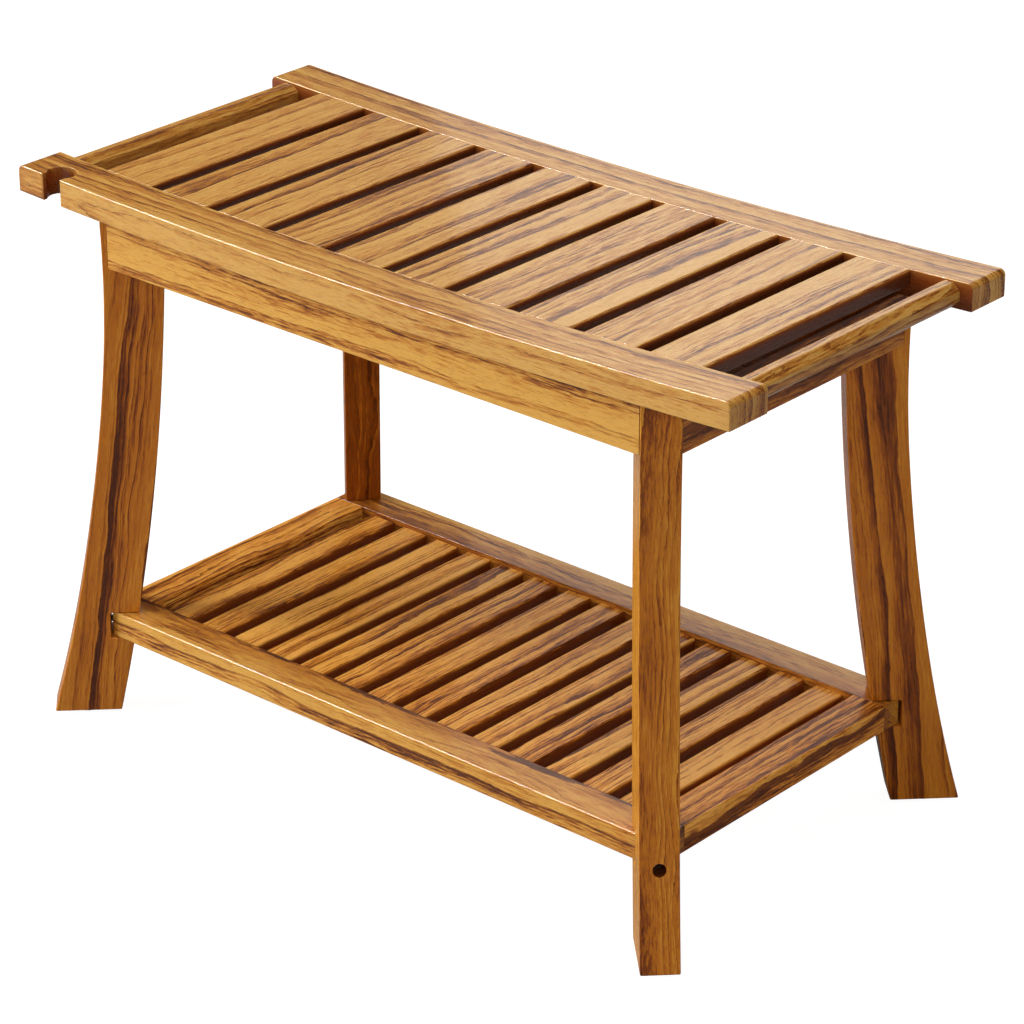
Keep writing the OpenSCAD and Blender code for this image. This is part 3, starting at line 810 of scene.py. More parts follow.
@built_once("materials", "Nylon glides")
def nylon(name):
    """Moulded nylon of the glides, scuffed a little."""
    material, w, surface = new_material(name)
    place = w.add("ShaderNodeTexCoord").outputs["Object"]
    scuffs = w.noise(w.stretched(place, 900.0, 300.0, (0.0, 0.0, 0.0)), detail=4.0, roughness=0.65)
    colour_set = bpy.context.scene.bench_finish.nylon
    w.feed(surface["Base Color"], w.tint(w.ramp(scuffs, 0.45, 0.7), rgba(colour_set), rgba(colour_set, 0.85)))
    w.feed(surface["Roughness"], w.ramp(scuffs, 0.3, 0.7, 0.42, 0.62))
    w.bump(surface, scuffs, 0.00005)
    return material


@built_once("materials", "Studio floor")
def studio_floor(name):
    """A pale floor that shows near white, but throws back little light on the wood."""
    material, w, surface = new_material(name)
    seen = w.add("ShaderNodeLightPath").outputs["Is Camera Ray"]
    colour_set = bpy.context.scene.bench_finish.floor
    w.feed(surface["Base Color"], w.tint(seen, rgba(colour_set, 0.42), rgba(colour_set, 0.3)))
    w.feed(surface["Emission Color"], w.tint(seen, rgba(WHITE, 0.0), rgba(WHITE)))
    surface["Roughness"].default_value = 0.9
    surface["Specular IOR Level"].default_value = 0.0
    surface["Emission Strength"].default_value = PALE
    return material


# ---------------------------------------------------------------- pieces

def rail_stations(sizes):
    """X positions along a seat rail with the top height at each, round over the ends."""
    radius = sizes.rail_end_round
    inner = HALF_LENGTH - radius
    top = seat_z(sizes, inner)
    half = [(x, seat_z(sizes, x)) for x in steps(0.0, inner, 30)]
    for angle in steps(0.0, math.pi / 2, 8)[1:]:
        half.append((inner + radius * math.sin(angle), top - radius * (1 - math.cos(angle))))
    return [(-x, z) for x, z in reversed(half[1:])] + half


def hook_cutters(sizes):
    """The hook notch of the front rail: a round pocket, its mouth and the rounded lip."""
    x = -HALF_LENGTH + sizes.hook_inset
    y = -HALF_DEPTH + sizes.hook_depth
    low, high = SEAT_LOW_Z - sizes.rail_thickness, SEAT_LOW_Z + 3 * sizes.rail_thickness
    left = x - sizes.hook_mouth / 2 + sizes.hook_offset
    right = left + sizes.hook_mouth
    lip = sizes.hook_lip
    outline = [(right, y), (right, -HALF_DEPTH - lip), (left - lip, -HALF_DEPTH - lip)]
    outline += [(left - lip + lip * math.sin(a), -HALF_DEPTH + lip - lip * math.cos(a))
                for a in steps(0.0, math.pi / 2, 5)]
    outline.append((left, y))
    mouth = loft("mouth", [[Vector((px, py, z)) for px, py in outline] for z in (low, high)])
    pocket = rod_between("pocket", (x, y, low), (x, y, high), sizes.hook_diameter / 2, sides=64)
    return [mouth, pocket]


def seat_rail(sizes, side):
    """A long curved rail: side -1 is the front one, with the hook notch."""
    rings = []
    for x, z in rail_stations(sizes):
        under = seat_z(sizes, x) - sizes.rail_thickness
        section = ((RAIL_IN_Y, under), (HALF_DEPTH, under), (HALF_DEPTH, z), (RAIL_IN_Y, z))
        rings.append([Vector((x, side * y, height)) for y, height in section])
    mesh = loft("seat_rail", rings)
    if side < 0:
        mesh = cut(mesh, hook_cutters(sizes))

    def arris_share(middle, direction):
        """Full arris outside, a smaller one along the slats and a crisp one round the hook notch."""
        at_notch = middle.x < -HALF_LENGTH + 2 * sizes.hook_inset
        outside = abs(middle.x) > HALF_LENGTH - NEAR or abs(abs(middle.y) - HALF_DEPTH) < NEAR
        if abs(middle.y) < RAIL_IN_Y + NEAR:
            return 0.6
        return 0.35 if side < 0 and at_notch and not outside else 1.0
    return soften(mesh, sizes.rail_arris, arris_share, segments=4)


def rail_shadow(sizes, point):
    """Painted shade on a seat rail: between the slats, at its round front ends and in its hook notch."""
    between_slats, growth, round_ends = 0.38, 0.5, 0.17
    drop = (seat_z(sizes, point.x) - point.z) / sizes.rail_thickness
    if abs(point.y) < RAIL_IN_Y + 2 * NEAR:
        return between_slats + growth * drop if drop > 0.02 else 0.0
    round_share = (abs(point.x) - HALF_LENGTH) / sizes.rail_end_round + 1.0
    if point.y < 0 and round_share > 0.0:
        return round_ends * round_share
    return notch_shadow(sizes, point)


def hook_side(sizes, point):
    """A darker colour beyond the hook notch, at the front rail's left end."""
    mouth = -HALF_LENGTH + sizes.hook_inset + sizes.hook_offset - sizes.hook_mouth / 2
    beyond = point.x < mouth + NEAR
    return -0.16 if beyond and point.y < -HALF_DEPTH + sizes.hook_depth else 0.0


def notch_shadow(sizes, point):
    """Painted shade on the wall of the hook notch, growing down from the rail's top and lighter on the side
    that faces the light.
    """
    if point.y > 0:
        return 0.0
    x = point.x + HALF_LENGTH - sizes.hook_inset
    y = point.y + HALF_DEPTH - sizes.hook_depth
    on_pocket = abs(math.hypot(x, y) - sizes.hook_diameter / 2) < 2 * NEAR
    on_mouth = y < 0 and abs(abs(x - sizes.hook_offset) - sizes.hook_mouth / 2) < 2 * NEAR
    if not (on_pocket or on_mouth):
        return 0.0
    drop = min(1.0, (seat_z(sizes, point.x) - point.z) / sizes.rail_thickness)
    lit = 0.8 * max(0.0, x) / sizes.hook_diameter * 2
    return (0.30 + 0.70 * drop) * (1.0 - lit)


def gap_shadow(middle, tilt, thickness, strength):
    """Painted shade on the sides of a slat, down into the gap beside it, but not on its underside."""
    start, reach = 0.0003, 0.0016
    turn_back = Matrix.Rotation(tilt, 3, "Y")

    def shadow(point):
        drop = -(turn_back @ (point - middle)).z
        under = drop > thickness - NEAR
        return 0.0 if under else strength * (1.0 - math.exp(-max(0.0, drop - start) / reach))
    return shadow


def along_y(ends):
    """Arris shares of a board along Y: full on its long edges, the share ends round its ends."""
    return lambda middle, direction: 1.0 if abs(direction.y) > 0.5 else ends


def round_section(width, thickness, radius):
    """Board section with round top corners, as (across, up) from its top middle."""
    sides = [radius + (thickness - radius) * share for share in (0.08, 0.22, 0.42, 0.68, 1.0)]
    points = [(-width / 2, -depth) for depth in reversed(sides)]
    middle, quarter = width / 2 - radius, math.pi / 2
    for x, first, last in ((-middle, 2 * quarter, quarter), (middle, quarter, 0.0)):
        points += [(x + radius * math.cos(a), -radius + radius * math.sin(a)) for a in steps(first, last, 5)]
    return points + [(width / 2, -depth) for depth in sides]


def slat(middle, tilt, width, thickness, radius, half_length):
    """A board along Y with a round-topped section, tilted about Y."""
    turn = Matrix.Rotation(-tilt, 3, "Y")
    outline = round_section(width, thickness, radius)
    section = [middle + turn @ Vector((across, 0.0, up)) for across, up in outline]
    rings = [[point + Vector((0.0, y, 0.0)) for point in section] for y in (-half_length, half_length)]
    return soften(loft("slat", rings), SLAT_ARRIS, along_y(0.45), segments=2)


def grip_bar(sizes, side):
    """An eight-sided bar between the rails with softened edges."""
    x = side * (HALF_LENGTH - sizes.bar_inset)
    z = seat_z(sizes, x) - sizes.rail_thickness / 2
    reach = sizes.bar_flats / 2 / math.cos(math.pi / 8)
    turns = steps(math.pi / 8, math.pi / 8 + math.tau, 8)[:-1]
    section = [(x + reach * math.cos(a), z + reach * math.sin(a)) for a in turns]
    rings = [[Vector((px, y, pz)) for px, pz in section] for y in (-RAIL_IN_Y, RAIL_IN_Y)]
    return soften(loft("grip_bar", rings), BAR_ARRIS, along_y(0.2))


def bar_shadow(sizes, point):
    """Painted shade on a grip bar, growing towards its underside."""
    middle = seat_z(sizes, point.x) - sizes.rail_thickness / 2
    return 0.10 + 0.22 * max(0.0, (middle - point.z) / sizes.bar_flats * 2)


def apron(sizes, half, place):
    """A board under the rails with mitred ends. place turns (along, inward, height) into bench space."""
    outer = half - sizes.leg_thickness * ROOT_HALF
    share = (outer - sizes.apron_thickness) / outer
    low = APRON_LOW.z
    rings = []
    for x in steps(-outer, outer, 24):
        near, far = place(x, 0.0, 0.0), place(x * share, sizes.apron_thickness, 0.0)
        ring = [Vector((point.x, point.y, low)) for point in (near, far)]
        for point in (far, near):
            ring.append(Vector((point.x, point.y, seat_z(sizes, point.x) - sizes.rail_thickness)))
        rings.append(ring)

    def arris_share(middle, direction):
        return 1.0 if middle.z < low + 0.001 or abs(direction.z) > 0.9 else 0.4
    return soften(loft("apron", rings), sizes.apron_arris, arris_share)


def joint_shadow(sizes, point):
    """Painted shade: the dark line where an apron's end meets the leg."""
    across = (abs(point.y) - BASE_Y - abs(point.x) + BASE_X) * ROOT_HALF
    return 1.0 if abs(abs(across) - sizes.leg_thickness / 2) < 3 * NEAR else 0.0


def leg(sizes, corner):
    """A curved leg board on its diagonal, with the shelf notch, bolt hole and bores."""
    place = corner_place(corner)
    half = sizes.leg_thickness / 2
    heights = steps(LEG_LOW_Z, SEAT_LOW_Z - 0.004, 44)
    rings = [board_ring(place, *leg_edges(sizes, z), half, z) for z in heights]
    top = board_ring(place, *leg_edges(sizes, SEAT_LOW_Z), half, 0.0)
    rings.append([Vector((p.x, p.y, seat_z(sizes, p.x) - sizes.rail_thickness)) for p in top])

    def bore(first, last, z, radius, sides=40):
        """A round cutter along the leg's diagonal."""
        return rod_between("bore", place(first, 0, z), place(last, 0, z), radius, sides)
    notch, back = notch_u(sizes), leg_back(sizes)
    seat = notch + sizes.bolt_seat
    past_board, past_face = 0.1, 0.002
    notch_low = notch - 2 * past_board, -2 * half, SHELF_LOW.z
    notch_high = notch, 2 * half, SHELF_HIGH.z + sizes.notch_play
    mesh = cut(loft("leg", rings), [
        box_between("notch", notch_low, notch_high, place),
        bore(notch - past_face, seat + 4 * past_face, SHELF_BOLT_Z, sizes.bolt_diameter / 2 + PLAY),
        bore(seat, seat + past_board, SHELF_BOLT_Z, BOLT_HOLE_RADIUS, sides=SIDES),
        bore(back - PAST, back + HANGER_DEPTH + 0.001, hanger_z(sizes), sizes.hanger_diameter / 2 + PLAY),
    ])

    def arris_share(middle, direction):
        """Full arris on the long edges; small ones at the notch, the holes and the joints at the top."""
        across, z = corner_local(corner, middle)[1:]
        if z > APRON_LOW.z + 0.001:
            return 0.35
        return 0.4 if abs(across) < half - 0.001 and z > 0.01 else 1.0
    return soften(mesh, sizes.leg_arris, arris_share)


def leg_light_and_shade(sizes, point):
    """Painted light on the side of the front right leg that faces the key light, and painted shade on the
    inner edge of the back left one, under the seat.
    """
    painted_light, painted_shade = 0.62, -0.22
    if point.x > 0 > point.y:
        across = corner_local("front_right", point)[1]
        return painted_light if across > sizes.leg_thickness / 2 - 2 * NEAR else 0.0
    if point.x < 0 < point.y:
        outward, _, z = corner_local("back_left", point)
        return painted_shade if outward < leg_edges(sizes, z)[1] + 2 * NEAR else 0.0
    return 0.0


def hole_shadow(sizes, corner, point):
    """Painted shade on the wall of a leg's bolt hole, darkest round the bolt's head."""
    at_head, along_wall = 1.0, 0.75
    outward, across, z = corner_local(corner, point)
    depth = outward - notch_u(sizes) - sizes.bolt_seat
    if math.hypot(across, z - SHELF_BOLT_Z) > BOLT_HOLE_RADIUS + NEAR or depth < -0.001:
        return 0.0
    return at_head if depth < 0.001 else along_wall


# Sawing angle and colour depth of each leg's board; the back left leg's deeper colour is partly painted shade
# from the seat above it
LEG_BOARDS = {
    "front_left": (12, 0.20),
    "front_right": (62, 0.02),
    "back_left": (20, 0.34),
    "back_right": (16, 0.26),
}


def leg_grain(sizes, corner):
    """Grain of a leg: straight along the chord from its top to its foot."""
    top = seat_height(sizes)
    top_middle, foot_middle = (sum(leg_edges(sizes, z)) / 2 for z in (top, 0.0))
    chord = Vector((top_middle - foot_middle, top)).normalized()

    def places(point):
        outward, across, z = corner_local(corner, point)
        outward -= foot_middle
        return outward * chord.x + z * chord.y, outward * chord.y - z * chord.x, across
    return places


def shelf_rail(sizes, side):
    """A long shelf rail with clipped outer corners, side -1 at the front."""
    clip = sizes.shelf_clip * math.sqrt(2)
    x, y, inner = SHELF_HIGH.x, SHELF_HIGH.y, SHELF_LOW.y
    plan = [(-x, inner), (x, inner), (x, y - clip), (x - clip, y), (-x + clip, y), (-x, y - clip)]
    rings = [[Vector((px, side * py, z)) for px, py in plan] for z in (SHELF_LOW.z, SHELF_HIGH.z)]
    clip_u = sizes.shelf_proud * math.sqrt(2) - sizes.shelf_clip
    bores = []
    for corner in [corner for corner in CORNERS if CORNERS[corner][1] == side]:
        place = corner_place(corner)
        ends = [place(u, 0, SHELF_BOLT_Z) for u in (clip_u - INSERT_DEPTH, clip_u + PAST)]
        bores.append(rod_between("bore", *ends, INSERT_RADIUS + PLAY))

    def arris_share(middle, direction):
        """Full arris, but a small one along the slats and round the insert bores."""
        ax, ay = abs(direction.x), abs(direction.y)
        round_bore = abs(direction.z) < 1e-3 and ax * ay > 0.02 and abs(ax - ay) > 0.02
        return 0.35 if abs(middle.y) < inner + NEAR or round_bore else 1.0
    return soften(cut(loft("shelf_rail", rings), bores), sizes.shelf_arris, arris_share)


def shelf_rail_side(point):
    """The brown wood along a long shelf rail's inner edge, and a darker colour towards its right end."""
    inner_edge, right_end, edge_width = -0.75, -0.28, 0.002
    if abs(point.y) < SHELF_LOW.y + edge_width:
        return inner_edge
    return right_end if point.x > 0 else 0.0


def shelf_end_rail(sizes, side):
    """A short shelf rail between the long ones."""
    outer, half = SHELF_HIGH.x, SHELF_LOW.y
    low, high = (side * SHELF_END_IN, -half, SHELF_LOW.z), (side * outer, half, SHELF_HIGH.z)
    mesh = box_between("shelf_end_rail", low, high)

    def arris_share(middle, direction):
        return 1.0 if abs(middle.x) > outer - NEAR and abs(direction.y) > 0.5 else 0.35
    return soften(mesh, sizes.shelf_arris, arris_share)


def corner_block(sizes, corner):
    """A block across the corner, flat against both aprons and curved against the leg's inner edge."""
    place = corner_place(corner)
    back = leg_back(sizes) - sizes.block_thickness
    near = -sizes.apron_thickness * math.sqrt(2)
    low = APRON_LOW.z + sizes.block_margin
    high = seat_z(sizes, 0.0) - sizes.rail_thickness - sizes.block_margin
    rings = []
    for z in steps(low, high, 4):
        front = leg_edges(sizes, z)[1]
        plan = ((back, back - near), (front, front - near), (front, near - front), (back, near - back))
        rings.append([place(u, t, z) for u, t in plan])
    middle_z = (low + high) / 2
    bore = [place(u, 0, middle_z) for u in (back - PAST, back + 4 * PAST)]
    cutters = [rod_between("hanger_bore", *bore, WIDE_BORE_RADIUS)]
    for start, along in block_screw_places(sizes, corner):
        ends = start - along * 0.001, start + along * 0.03
        head = start - along * 2 * PAST, start
        cutters.append(rod_between("screw_recess", *head, WIDE_BORE_RADIUS, sides=24))
        cutters.append(rod_between("screw_bore", *ends, SCREW_BORE_RADIUS, sides=16))
    mesh = cut(loft("corner_block", rings), cutters)
    return soften(mesh, BLOCK_ARRIS, lambda middle, direction: 0.5, segments=2)


def block_screw_places(sizes, corner):
    """Seat of each block screw's head, with the direction along the screw."""
    place = corner_place(corner)
    middle_u = leg_back(sizes) - sizes.block_thickness / 2
    across = -sizes.apron_thickness * math.sqrt(2) - leg_back(sizes) + sizes.block_thickness / 2
    height = (seat_z(sizes, 0.0) - sizes.rail_thickness - APRON_LOW.z) - 2 * sizes.block_margin
    seat = sizes.block_thickness * ROOT_HALF - 0.005
    places = []
    for side in (-1, 1):
        for level in (-1, 1):
            z = hanger_z(sizes) + level * height / 4
            centre = place(middle_u, side * across, z)
            along = (place(middle_u + ROOT_HALF, side * (across + ROOT_HALF), z) - centre).normalized()
            places.append((centre - along * seat, along))
    return places


def axis_place(start, along):
    """Turns (along the axis, and two ways across it) into bench space."""
    turn = along.to_track_quat("X", "Z").to_matrix()
    return lambda a, b, c: start + turn @ Vector((a, b, c))


def shelf_edge_group():
    """The pieces that the shelf strip shines on."""
    name = "Shelf edge"
    return bpy.data.collections.get(name) or bpy.data.collections.new(name)


# ---------------------------------------------------------------- studio

# Name, place, width and height, power and colour of each soft light
LIGHTS = (
    ("key_softbox", (-2.35, -2.1, 2.05), (1.4, 2.4), 80.0, WHITE),
    ("low_card", (-2.3, -2.95, 0.75), (2.2, 1.3), 42.0, WHITE),
    ("top_card", (-0.2, -0.3, 3.0), (1.8, 1.8), 46.0, (1.0, 0.98, 0.95)),
    ("front_fill", (2.45, -2.6, 1.85), (2.0, 1.2), 36.0, WHITE),
    ("back_card", (-1.8, 3.35, 1.95), (1.9, 1.7), 15.0, (1.0, 0.95, 0.88)),
    ("right_fill", (3.6, -0.6, 0.8), (2.4, 1.4), 13.0, (1.0, 0.92, 0.82)),
    ("back_fill", (1.2, 3.6, 0.9), (2.6, 1.4), 32.0, WHITE),
    ("edge_strip", (-1.97, -0.45, 2.93), (0.5, 1.6), 190.0, WHITE),
    ("shelf_strip", (-2.3, -1.75, 2.5), (1.5, 0.5), 150.0, WHITE),
)
LIGHTS_AIM = Vector((0.0, 0.0, 0.3))
# Lights that the lacquer doesn't mirror, and lights that show only as its mirror images
UNMIRRORED = ("key_softbox", "low_card", "front_fill", "back_fill")
STRIPS = ("edge_strip", "shelf_strip")
# The photograph's viewpoint
CAMERA_PLACE = (1.8444, -2.0920, 1.5237)
CAMERA_LOOK = Vector((-0.59528, 0.68169, -0.42537))
CAMERA_LENS = 138.07
SENSOR_WIDTH = 36.0
CAMERA_SHIFT = (-0.0010, -0.0022)
FLOOR_HALF = 9.0
# How far the floor lies under the feet, so that the two don't share a plane
FLOOR_DROP = 0.0002


class BENCH_OT_stage(Operator):
    """Make the pale floor, the soft lights and the camera"""

    bl_idname = "bench.stage"
    bl_label = "Studio"

    def execute(self, context):
        scene = context.scene
        scene.view_settings.view_transform = "Standard"
        scene.view_settings.look = "None"
        self.add_floor(scene)
        self.add_air(scene)
        for light in LIGHTS:
            self.add_light(scene, *light)
        for name in UNMIRRORED:
            scene.objects[name].visible_glossy = False
        for name in STRIPS:
            scene.objects[name].visible_diffuse = False
        # The second strip reaches only the shelf's front rail, which the seat hides from the first
        scene.objects["shelf_strip"].light_linking.receiver_collection = shelf_edge_group()
        self.add_camera(scene)
        return {"FINISHED"}

    def add_floor(self, scene):
        shape = bmesh.new()
        bmesh.ops.create_grid(shape, x_segments=8, y_segments=8, size=FLOOR_HALF)
        mesh = mesh_of(shape, "floor")
        floor = bpy.data.objects.new("floor", mesh)
        scene.collection.objects.link(floor)
        floor.location.z = -FLOOR_DROP
        mesh.materials.append(studio_floor())

    def add_air(self, scene):
        """A surround that shows pale, but lights the wood weakly, and least from above."""
        world = bpy.data.worlds.new("Studio air")
        scene.world = world
        world.use_nodes = True
        w = Wiring(world.node_tree)
        background = world.node_tree.nodes["Background"].inputs
        height = w.split(w.add("ShaderNodeTexCoord").outputs["Generated"])[2]
        seen = w.add("ShaderNodeLightPath").outputs["Is Camera Ray"]
        low_strength, high_strength, unseen = 0.42, 0.10, 0.051
        strength = w.ramp(height, 0.0, 0.6, low_strength, high_strength)
        w.feed(background["Color"], w.tint(seen, rgba(WHITE, unseen), rgba(WHITE, PALE)))
        w.feed(background["Strength"], w.math("MAXIMUM", strength, seen))

    def add_light(self, scene, name, place, size, power, colour):
        data = bpy.data.lights.new(name, "AREA")
        data.shape = "RECTANGLE"
        data.size, data.size_y = size
        data.energy = power
        data.color = colour
        light = bpy.data.objects.new(name, data)
        scene.collection.objects.link(light)
        light.location = place
        light.rotation_euler = (LIGHTS_AIM - light.location).to_track_quat("-Z", "Y").to_euler()

    def add_camera(self, scene):
        data = bpy.data.cameras.new("camera")
        data.lens = CAMERA_LENS
        data.sensor_width = SENSOR_WIDTH
        data.shift_x, data.shift_y = CAMERA_SHIFT
        data.clip_end = 60.0
        camera = bpy.data.objects.new("camera", data)
        scene.collection.objects.link(camera)
        camera.location = CAMERA_PLACE
        camera.rotation_euler = CAMERA_LOOK.to_track_quat("-Z", "Y").to_euler()
        scene.camera = camera


# ---------------------------------------------------------------- operators for the pieces

class BENCH_OT_seat_rails(Operator):
    """Make the two long curved seat rails, the front one with its hook notch"""

    bl_idname = "bench.seat_rails"
    bl_label = "Seat rails"

    def execute(self, context):
        sizes = context.scene.bench_sizes
        for side, node in ((-1, "front_rail"), (1, "back_rail")):
            make_wood("board", node, seat_rail(sizes, side), "Teak seat rails",
                      lambda p: (p.x, p.y, p.z - seat_z(sizes, p.x)), cut_angle=9, depth=0.02,
                      shadow=lambda p: rail_shadow(sizes, p), pale=lambda p: hook_side(sizes, p))
        return {"FINISHED"}


class BENCH_OT_grip_bars(Operator):
    """Make the two eight-sided bars between the seat rails"""

    bl_idname = "bench.grip_bars"
    bl_label = "Grip bars"

    def execute(self, context):
        sizes = context.scene.bench_sizes
        for side, node in ((-1, "grip_bar_left"), (1, "grip_bar_right")):
            make_wood("stick", node, grip_bar(sizes, side), "Teak seat rails",
                      lambda p: (p.y, p.x, side * p.z), cut_angle=34, depth=0.04 - 0.06 * side,
                      shadow=lambda p: bar_shadow(sizes, p), pith=0.09)
        return {"FINISHED"}


class BENCH_OT_seat_slats(Operator):
    """Make the ten seat slats, each tilted with the seat's curve"""

    bl_idname = "bench.seat_slats"
    bl_label = "Seat slats"

    def execute(self, context):
        sizes = context.scene.bench_sizes
        for count in range(1, 11):
            node = f"seat_slat_{count:02d}"
            low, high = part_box(node)
            x = (low.x + high.x) / 2
            tilt = seat_tilt(sizes, x)
            width = (high.x - low.x) / math.cos(tilt) - sizes.slat_thickness * abs(math.tan(tilt))
            x -= math.sin(tilt) * sizes.slat_thickness / 2
            middle = Vector((x, 0.0, seat_z(sizes, x)))
            mesh = slat(middle, tilt, width, sizes.slat_thickness, sizes.slat_round, RAIL_IN_Y)
            # The slats grow paler towards the right end
            share = x / HALF_LENGTH
            depth = -0.06 - 0.06 * share - 0.14 * share ** 3
            make_wood("board", node, mesh, "Teak seat slats",
                      lambda p: (p.y, p.x - x, p.z - high.z), cut_angle=15, depth=depth,
                      shadow=gap_shadow(middle, tilt, sizes.slat_thickness, strength=1.0))
        return {"FINISHED"}


class BENCH_OT_aprons(Operator):
    """Make the four aprons under the seat rails"""

    bl_idname = "bench.aprons"
    bl_label = "Aprons"

    def execute(self, context):
        sizes = context.scene.bench_sizes
        for side, node in ((-1, "front_apron"), (1, "back_apron")):
            mesh = apron(sizes, BASE_X, lambda a, inward, z: Vector((a, side * (BASE_Y - inward), z)))
            make_wood("board", node, mesh, "Teak aprons",
                      lambda p: (p.x, p.z, p.y), cut_angle=14, depth=-0.12,
                      shadow=lambda p: joint_shadow(sizes, p), pale=lambda p: 0.20 * max(0.0, p.x) / BASE_X)
        # The right apron's deeper colour is painted shade, for the shade under the rail's right end
        for side, node, depth in ((-1, "left_apron", 0.05), (1, "right_apron", 0.28)):
            mesh = apron(sizes, BASE_Y, lambda a, inward, z: Vector((side * (BASE_X - inward), a, z)))
            make_wood("board", node, mesh, "Teak side aprons",
                      lambda p: (p.y, p.z, p.x), cut_angle=20, depth=depth,
                      shadow=lambda p: joint_shadow(sizes, p))
        return {"FINISHED"}


class BENCH_OT_legs(Operator):
    """Make the four curved legs with their shelf notches and bolt holes"""

    bl_idname = "bench.legs"
    bl_label = "Legs"

    def execute(self, context):
        sizes = context.scene.bench_sizes
        for corner in CORNERS:
            cut_angle, depth = LEG_BOARDS[corner]
            make_wood("board", "leg_" + corner, leg(sizes, corner), "Teak legs",
                      leg_grain(sizes, corner), cut_angle=cut_angle, depth=depth,
                      shadow=lambda p: hole_shadow(sizes, corner, p), pale=lambda p: leg_light_and_shade(sizes, p))
        return {"FINISHED"}


class BENCH_OT_shelf_frame(Operator):
    """Make the four rails round the shelf"""

    bl_idname = "bench.shelf_frame"
    bl_label = "Shelf frame"

    def execute(self, context):
        sizes = context.scene.bench_sizes
        for side, node in ((-1, "shelf_front_rail"), (1, "shelf_back_rail")):
            piece = make_wood("board", node, shelf_rail(sizes, side), "Teak shelf rails",
                              lambda p: (p.x, p.y, p.z), cut_angle=58, depth=-0.15, pale=shelf_rail_side)
            if side < 0:
                shelf_edge_group().objects.link(piece)
        for side, node in ((-1, "shelf_left_rail"), (1, "shelf_right_rail")):
            make_wood("board", node, shelf_end_rail(sizes, side), "Teak shelf",
                      lambda p: (p.y, p.x, p.z), cut_angle=30, depth=0.04)
        return {"FINISHED"}


class BENCH_OT_shelf_slats(Operator):
    """Make the fourteen shelf slats"""

    bl_idname = "bench.shelf_slats"
    bl_label = "Shelf slats"

    def execute(self, context):
        sizes = context.scene.bench_sizes
        for count in range(1, 15):
            node = f"shelf_slat_{count:02d}"
            low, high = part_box(node)
            middle = Vector(((low.x + high.x) / 2, 0.0, high.z))
            mesh = slat(middle, 0.0, high.x - low.x, high.z - low.z, sizes.shelf_slat_round, high.y)
            make_wood("board", node, mesh, "Teak shelf",
                      lambda p: (p.y, p.x - middle.x, p.z - high.z), cut_angle=22, depth=-0.02,
                      shadow=gap_shadow(middle, 0.0, high.z - low.z, strength=0.62))
        return {"FINISHED"}


class BENCH_OT_corner_blocks(Operator):
    """Make the four blocks that tie the aprons to the legs"""

    bl_idname = "bench.corner_blocks"
    bl_label = "Corner blocks"

    def execute(self, context):
        sizes = context.scene.bench_sizes
        for corner in CORNERS:
            def places(point):
                """The block's grain runs across the corner."""
                outward, across, z = corner_local(corner, point)
                return across, outward, z
            make_wood("wood", "corner_block_" + corner, corner_block(sizes, corner), "Teak legs",
                      places, cut_angle=40, depth=0.08)
        return {"FINISHED"}


class BENCH_OT_hardware(Operator):
    """Make the bolts, nuts, washers and screws"""

    bl_idname = "bench.hardware"
    bl_label = "Bolts and screws"

    def execute(self, context):
        sizes = context.scene.bench_sizes
        back = leg_back(sizes) - sizes.block_thickness
        leg_edge = back + sizes.block_thickness
        head = notch_u(sizes) + sizes.bolt_seat
        nodes = ("hanger_bolts", "hanger_washers", "hanger_nuts", "block_screws", "shelf_bolts")
        made = {node: [] for node in nodes}
        for corner in CORNERS:
            at_hanger = raised(corner_place(corner), hanger_z(sizes))
            at_shelf = raised(corner_place(corner), SHELF_BOLT_Z)
            radius = sizes.hanger_diameter / 2
            made["hanger_bolts"] += [
                thread("machine_thread", at_hanger, back - HANGER_END, leg_edge, radius, *MACHINE_THREAD),
                thread("wood_thread", at_hanger, leg_edge, leg_edge + HANGER_DEPTH, radius, *WOOD_THREAD,
                       point=0.006),
            ]
            made["hanger_washers"].append(washer(at_hanger, back))
            made["hanger_nuts"].append(hex_nut(at_hanger, back - WASHER_THICKNESS))
            radius = sizes.bolt_diameter / 2
            made["shelf_bolts"] += [
                socket_bolt(at_shelf, head),
                thread("bolt_thread", at_shelf, head - SHELF_BOLT_LENGTH, head, radius, *BOLT_THREAD),
            ]
            for start, along in block_screw_places(sizes, corner):
                made["block_screws"].append(wood_screw(axis_place(start, along)))
        for node, meshes in made.items():
            make_piece(node + "_steel", joined(node, meshes), steel(), "stainless_steel", node)
        repaint("shelf_inserts", steel())
        return {"FINISHED"}


def raised(place, height):
    """The space of place, lifted by height."""
    return lambda a, b, c: place(a, b, height + c)


def repaint(node, material):
    """Gives a CAD node that stays in the scene its material."""
    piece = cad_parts[node]
    piece.data.materials.clear()
    piece.data.materials.append(material)
    return piece


def washer(place, end):
    """A flat washer with softened rims, its face on the block at end."""
    rim, lip = 0.010, 0.0003
    far = end - WASHER_THICKNESS
    profile = [(end, STEEL_BORE), (end, rim - lip), (end - lip, rim), (far + lip, rim), (far, rim - lip),
               (far, STEEL_BORE)]
    return loft("washer", turned_rings(profile, place), closed=True)


